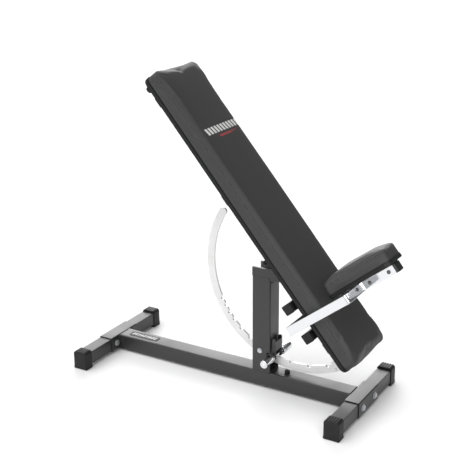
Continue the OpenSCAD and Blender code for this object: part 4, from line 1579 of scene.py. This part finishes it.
    def mark(self, shop: Workshop, skin: Array) -> None:
        """Makes the plain print on the vinyl: slanted bars over a thin stripe, laid on the
        cushion's own surface, and no lettering."""
        bars = [(x, 0.0, 11.0, 24.0, 0.3) for x in np.linspace(-80, 96, 11)]
        self.print_on(shop, skin, "pad_mark_bars", bars, WHITE_INK)
        self.print_on(shop, skin, "pad_mark_stripe", [(34.0, 25.0, 132.0, 8.0, 0.3)], RED_INK)

    def print_on(self, shop: Workshop, skin: Array, name: str, bars: list[tuple], ink: Finish) -> None:
        """Lays thin slanted bars on the cushion.

        Args:
            shop: Where pieces are made.
            skin: The cushion's rings.
            name: The print's name.
            bars: For each bar, its middle across and along, its length across and along, and
                its slant.
            ink: Its finish.
        """
        close = (skin[..., 2] > self.top - 12.0) & (np.abs(skin[..., 0] - self.mark_u) < 60.0)
        top = skin[close]
        shapes = []
        for across, along, wide, tall, slant in bars:
            block = rounded_block((tall, wide, 0.5), 0.8, 0.2)
            shear = np.array([[1.0, 0, 0], [slant, 1, 0], [0, 0, 1]])
            shapes.append(block.turned(shear).moved((self.mark_u + along, across, 0)))
        shape = joined(*shapes)
        gap = np.linalg.norm(shape.points[:, None, :2] - top[None, :, :2], axis=-1)
        near = np.argsort(gap, axis=1)[:, :4]
        weight = 1 / (np.take_along_axis(gap, near, 1) + 0.5)
        rise = np.sum(weight * top[near, 2], axis=1) / np.sum(weight, axis=1)
        points = shape.points + np.stack([0 * rise, 0 * rise, rise - 0.05], -1)
        shop.add(name, Shape(points, shape.faces), ON_PAD, Body.PAD, ink)


# Latch


@dataclass
class Latch:
    """The latch: two cheeks and a web, the cross rod and its two chrome grips."""

    rod: tuple[float, float] = (75.0, 120.507)
    rod_radius: float = 6.0
    rod_half: float = 93.0
    grip_inner: float = 34.0
    grip_length: float = 57.0
    grip_radius: float = 14.0

    def build(self, shop: Workshop) -> None:
        """Makes every piece of the latch."""
        for node in ("right_latch_cheek", "left_latch_cheek", "latch_web"):
            shop.soften(f"{node}_steel", (node,), Body.LATCH, STEEL, Slot.STEEL, 0.9)
        spot = (self.rod[0], 0, self.rod[1])
        h, r = self.rod_half, self.rod_radius
        rod = lathe([(-h, 0), (-h, r - 1.2), (-h + 1.2, r), (h - 1.2, r), (h, r - 1.2), (h, 0)])
        shop.add(
            "latch_rod_chrome", rod.moved(spot), ON_BASE, Body.LATCH, CHROME, Slot.CHROME, ("latch_rod",)
        )
        grip = lathe(self.profile(), 64).moved(spot)
        for side in Side:
            shape = grip if side is Side.LEFT else grip.flipped()
            node = f"{side.name.lower()}_grip"
            shop.add(f"{node}_chrome", shape, ON_BASE, Body.LATCH, CHROME, Slot.CHROME, (node,), 50)

    def profile(self) -> list[tuple[float, float]]:
        """Gives a grip's profile: a small inner edge, a straight barrel and a round nose."""
        y, long, r = self.grip_inner, self.grip_length, self.grip_radius
        nose = np.linspace(0, np.pi / 2, 8)
        rounded = [(y + long - 5 + 5 * math.sin(a), r - 5 + 5 * math.cos(a)) for a in nose]
        collar = [
            (y, self.rod_radius), (y, r - 2), (y + 0.6, r - 0.6), (y + 2, r), (y + 6, r),
            (y + 6.6, r - 0.5), (y + 7.6, r - 0.5), (y + 8.2, r),
        ]
        return [*collar, *rounded, (y + long, self.rod_radius), (y + long - 1, self.rod_radius)]


# Seat


@dataclass
class Seat:
    """The sliding seat: chrome flat bars, cross bar, glide, tube, board and cushion."""

    rear: float = -131.0
    turn: float = 116.0
    front: float = 243.0
    arm_y: float = 137.0
    tube_y: float = 19.0
    bar: tuple[float, float] = (6.0, 30.0)
    bend: float = 8.0
    gap: float = 30.0
    length: float = 231.0
    width: float = 218.0
    nose: float = 104.0
    corner: float = 30.0
    board: tuple[float, float] = (19.0, 31.0)
    top: float = 76.0
    bolt_x: tuple[float, float] = (145.0, 221.0)

    def build(self, shop: Workshop) -> None:
        """Makes every piece of the seat."""
        self.bars(shop)
        for node in ("seat_cross_bar", "seat_tube"):
            shop.soften(f"{node}_steel", (node,), Body.SEAT, STEEL, Slot.STEEL, 0.8)
        shop.soften("seat_glide_plastic", ("seat_glide",), Body.SEAT, RUBBER, Slot.RUBBER, 0.8)
        shop.soften("seat_board_wood", ("seat_board",), Body.SEAT, SEAT_BOARD, Slot.BOARD, 1.2)
        upright = np.array([[0.0, 0, 1], [1, 0, 0], [0, 1, 0]])
        plug = rounded_block((32, 30, 3.0), 3.4, 1.0).turned(upright).moved((self.front + 7.5, 0, 0))
        shop.add("seat_tube_end_plug", plug, ON_SEAT, Body.SEAT, PLASTIC, Slot.PLASTIC, ("seat_tube_plug",))
        head = socket_head(6.5, 3.0, 4.2)
        spots = np.array([(x, self.tube_y + 3, 0) for x in self.bolt_x])
        bolts = both_sides(head.repeated(spots))
        shop.add("seat_bolt_heads", bolts, ON_SEAT, Body.SEAT, DARK_BOLT, Slot.ZINC, ("seat_bolts",))
        self.welds(shop)
        middle = self.gap + self.length / 2
        Cushion(
            "seat_cushion", "seat_cushion", Body.SEAT, ON_SEAT,
            middle, self.length, self.width, self.nose, self.corner,
            self.board[1], self.top, crown=7.0, step=3.6, voxel=0.004
        ).build(shop)
        Underside(
            "seat", Body.SEAT, ON_SEAT,
            middle, self.length - 6, self.width - 6, self.nose - 6, self.corner - 3, *self.board
        ).build(shop)

    def bars(self, shop: Workshop) -> None:
        """Makes the two flat bars: a rounded section carried along the arm, the turn inwards
        and the run under the seat."""
        plan = filleted(
            [
                (self.rear, self.arm_y), (self.turn, self.arm_y),
                (self.turn, self.tube_y), (self.front, self.tube_y),
            ],
            self.bend, 12.0
        )
        path = np.concatenate([plan, np.zeros((len(plan), 1))], 1)
        section = bar_section(self.bar[0], self.bar[1], 1.6)
        bar = sweep(path, section, (0.0, 0.0, 1.0))
        for side in Side:
            shape = bar if side is Side.LEFT else bar.flipped()
            node = f"{side.name.lower()}_seat_bar"
            shop.add(f"{node}_chrome", shape, ON_SEAT, Body.SEAT, CHROME, Slot.CHROME, (node,), 50)

    def welds(self, shop: Workshop) -> None:
        """Makes the beads that join the bars to the cross bar."""
        y = self.arm_y - 3
        beads = [
            weld_bead((self.rear + 11, y, -13), (self.rear + 11, y, 13), 1.8),
            weld_bead((self.rear + 1, y, -13), (self.rear + 1, y, 13), 1.8),
        ]
        shop.add("seat_welds", both_sides(joined(*beads)), ON_SEAT, Body.SEAT, STEEL, Slot.STEEL, sharp=60)


# Studio


@dataclass
class Studio:
    """The pale floor, the soft lights and the camera."""

    camera_at: tuple[float, float, float] = (1500.63, -2698.44, 1615.52)
    azimuth: float = 30.408
    elevation: float = 19.329
    roll: float = -0.348
    lens: float = 76.97
    sensor: float = 36.0
    floor_half: float = 40.0
    dim: float = 0.62
    glow: tuple[float, float, float] = (-0.478, 0.814, 0.331)
    glow_light: float = 4.2
    shade: tuple[float, float, float] = (0.55, 0.72, 0.42)
    shade_light: float = -0.5
    key_light: float = 1.75
    key_from: tuple[float, float, float] = (-0.25, -0.45, 0.9)
    key_angle: float = 70.0
    edge_power: float = 6.0
    edge_size: float = 0.5
    edge_from: tuple[float, float, float] = (1.35, -1.15, 1.2)
    edge_at: tuple[float, float, float] = (0.35, -0.1, 0.3)

    def build(self) -> None:
        """Makes the floor, the world, the light and the camera."""
        h = self.floor_half
        mesh = bpy.data.meshes.new("floor")
        mesh.from_pydata([(-h, -h, 0), (h, -h, 0), (h, h, 0), (-h, h, 0)], [], [(0, 1, 2, 3)])
        mesh.materials.append(PaleFloor("pale_floor").material())
        floor = bpy.data.objects.new("floor", mesh)
        bpy.context.scene.collection.objects.link(floor)
        self.surroundings()
        self.key()
        self.edge_light()
        self.camera()
        bpy.context.scene.view_settings.view_transform = "Standard"

    def surroundings(self) -> None:
        """Makes the world: an even light with a soft bright wall behind the bench and a dimmer
        wall beside it. Each wall falls off smoothly with the angle from its middle."""
        world = bpy.data.worlds.new("studio")
        world.use_nodes = True
        tree = world.node_tree
        direction = tree.nodes.new("ShaderNodeTexCoord").outputs["Generated"]
        total = None
        for middle, light, edge in ((self.glow, self.glow_light, 0.84), (self.shade, self.shade_light, 0.55)):
            near = tree.nodes.new("ShaderNodeVectorMath")
            near.operation = "DOT_PRODUCT"
            near.inputs[1].default_value = Vector(middle).normalized()
            tree.links.new(direction, near.inputs[0])
            soft = tree.nodes.new("ShaderNodeMapRange")
            soft.interpolation_type = "SMOOTHSTEP"
            soft.inputs["From Min"].default_value = edge
            soft.inputs["From Max"].default_value = 1.0
            soft.inputs["To Max"].default_value = light
            tree.links.new(near.outputs["Value"], soft.inputs["Value"])
            added = tree.nodes.new("ShaderNodeMath")
            added.inputs[0].default_value = self.dim
            if total:
                tree.links.new(total, added.inputs[0])
            tree.links.new(soft.outputs["Result"], added.inputs[1])
            total = added.outputs[0]
        backdrop = tree.nodes["Background"]
        backdrop.inputs["Color"].default_value = (1.0, 1.0, 1.0, 1.0)
        tree.links.new(total, backdrop.inputs["Strength"])
        bpy.context.scene.world = world

    def key(self) -> None:
        """Makes one very wide soft light from above."""
        light = bpy.data.lights.new("key", "SUN")
        light.energy = self.key_light
        light.angle = math.radians(self.key_angle)
        lamp = bpy.data.objects.new("key", light)
        lamp.rotation_euler = (-Vector(self.key_from)).to_track_quat("-Z", "Y").to_euler()
        bpy.context.scene.collection.objects.link(lamp)

    def edge_light(self) -> None:
        """Makes a small soft light low in front of the seat, which draws a highlight along the
        cushions' rounded edges."""
        light = bpy.data.lights.new("edge", "AREA")
        light.energy = self.edge_power
        light.size = self.edge_size
        lamp = bpy.data.objects.new("edge", light)
        lamp.location = self.edge_from
        aim = Vector(self.edge_at) - Vector(self.edge_from)
        lamp.rotation_euler = aim.to_track_quat("-Z", "Y").to_euler()
        bpy.context.scene.collection.objects.link(lamp)

    def camera(self) -> None:
        """Makes the camera."""
        data = bpy.data.cameras.new("camera")
        data.lens = self.lens
        data.sensor_width = self.sensor
        camera = bpy.data.objects.new("camera", data)
        turn = Euler((0, 0, math.radians(self.azimuth))).to_matrix()
        turn = turn @ Euler((math.radians(90 - self.elevation), 0, 0)).to_matrix()
        turn = turn @ Euler((0, 0, math.radians(self.roll))).to_matrix()
        camera.rotation_euler = turn.to_euler()
        camera.location = ON_BASE.out(np.array(self.camera_at))
        bpy.context.scene.collection.objects.link(camera)
        bpy.context.scene.camera = camera


def main() -> None:
    """Builds the bench piece by piece, then the studio."""
    logging.basicConfig(level=logging.INFO, format="%(name)s: %(message)s")
    shop = Workshop()
    for part in (Base(), Post(), Pad(), Latch(), Seat()):
        LOG.info("building %s", type(part).__name__)
        part.build(shop)
    Studio().build()
    LOG.info("%d pieces", len(shop.made))


if __name__ == "__main__":
    main()
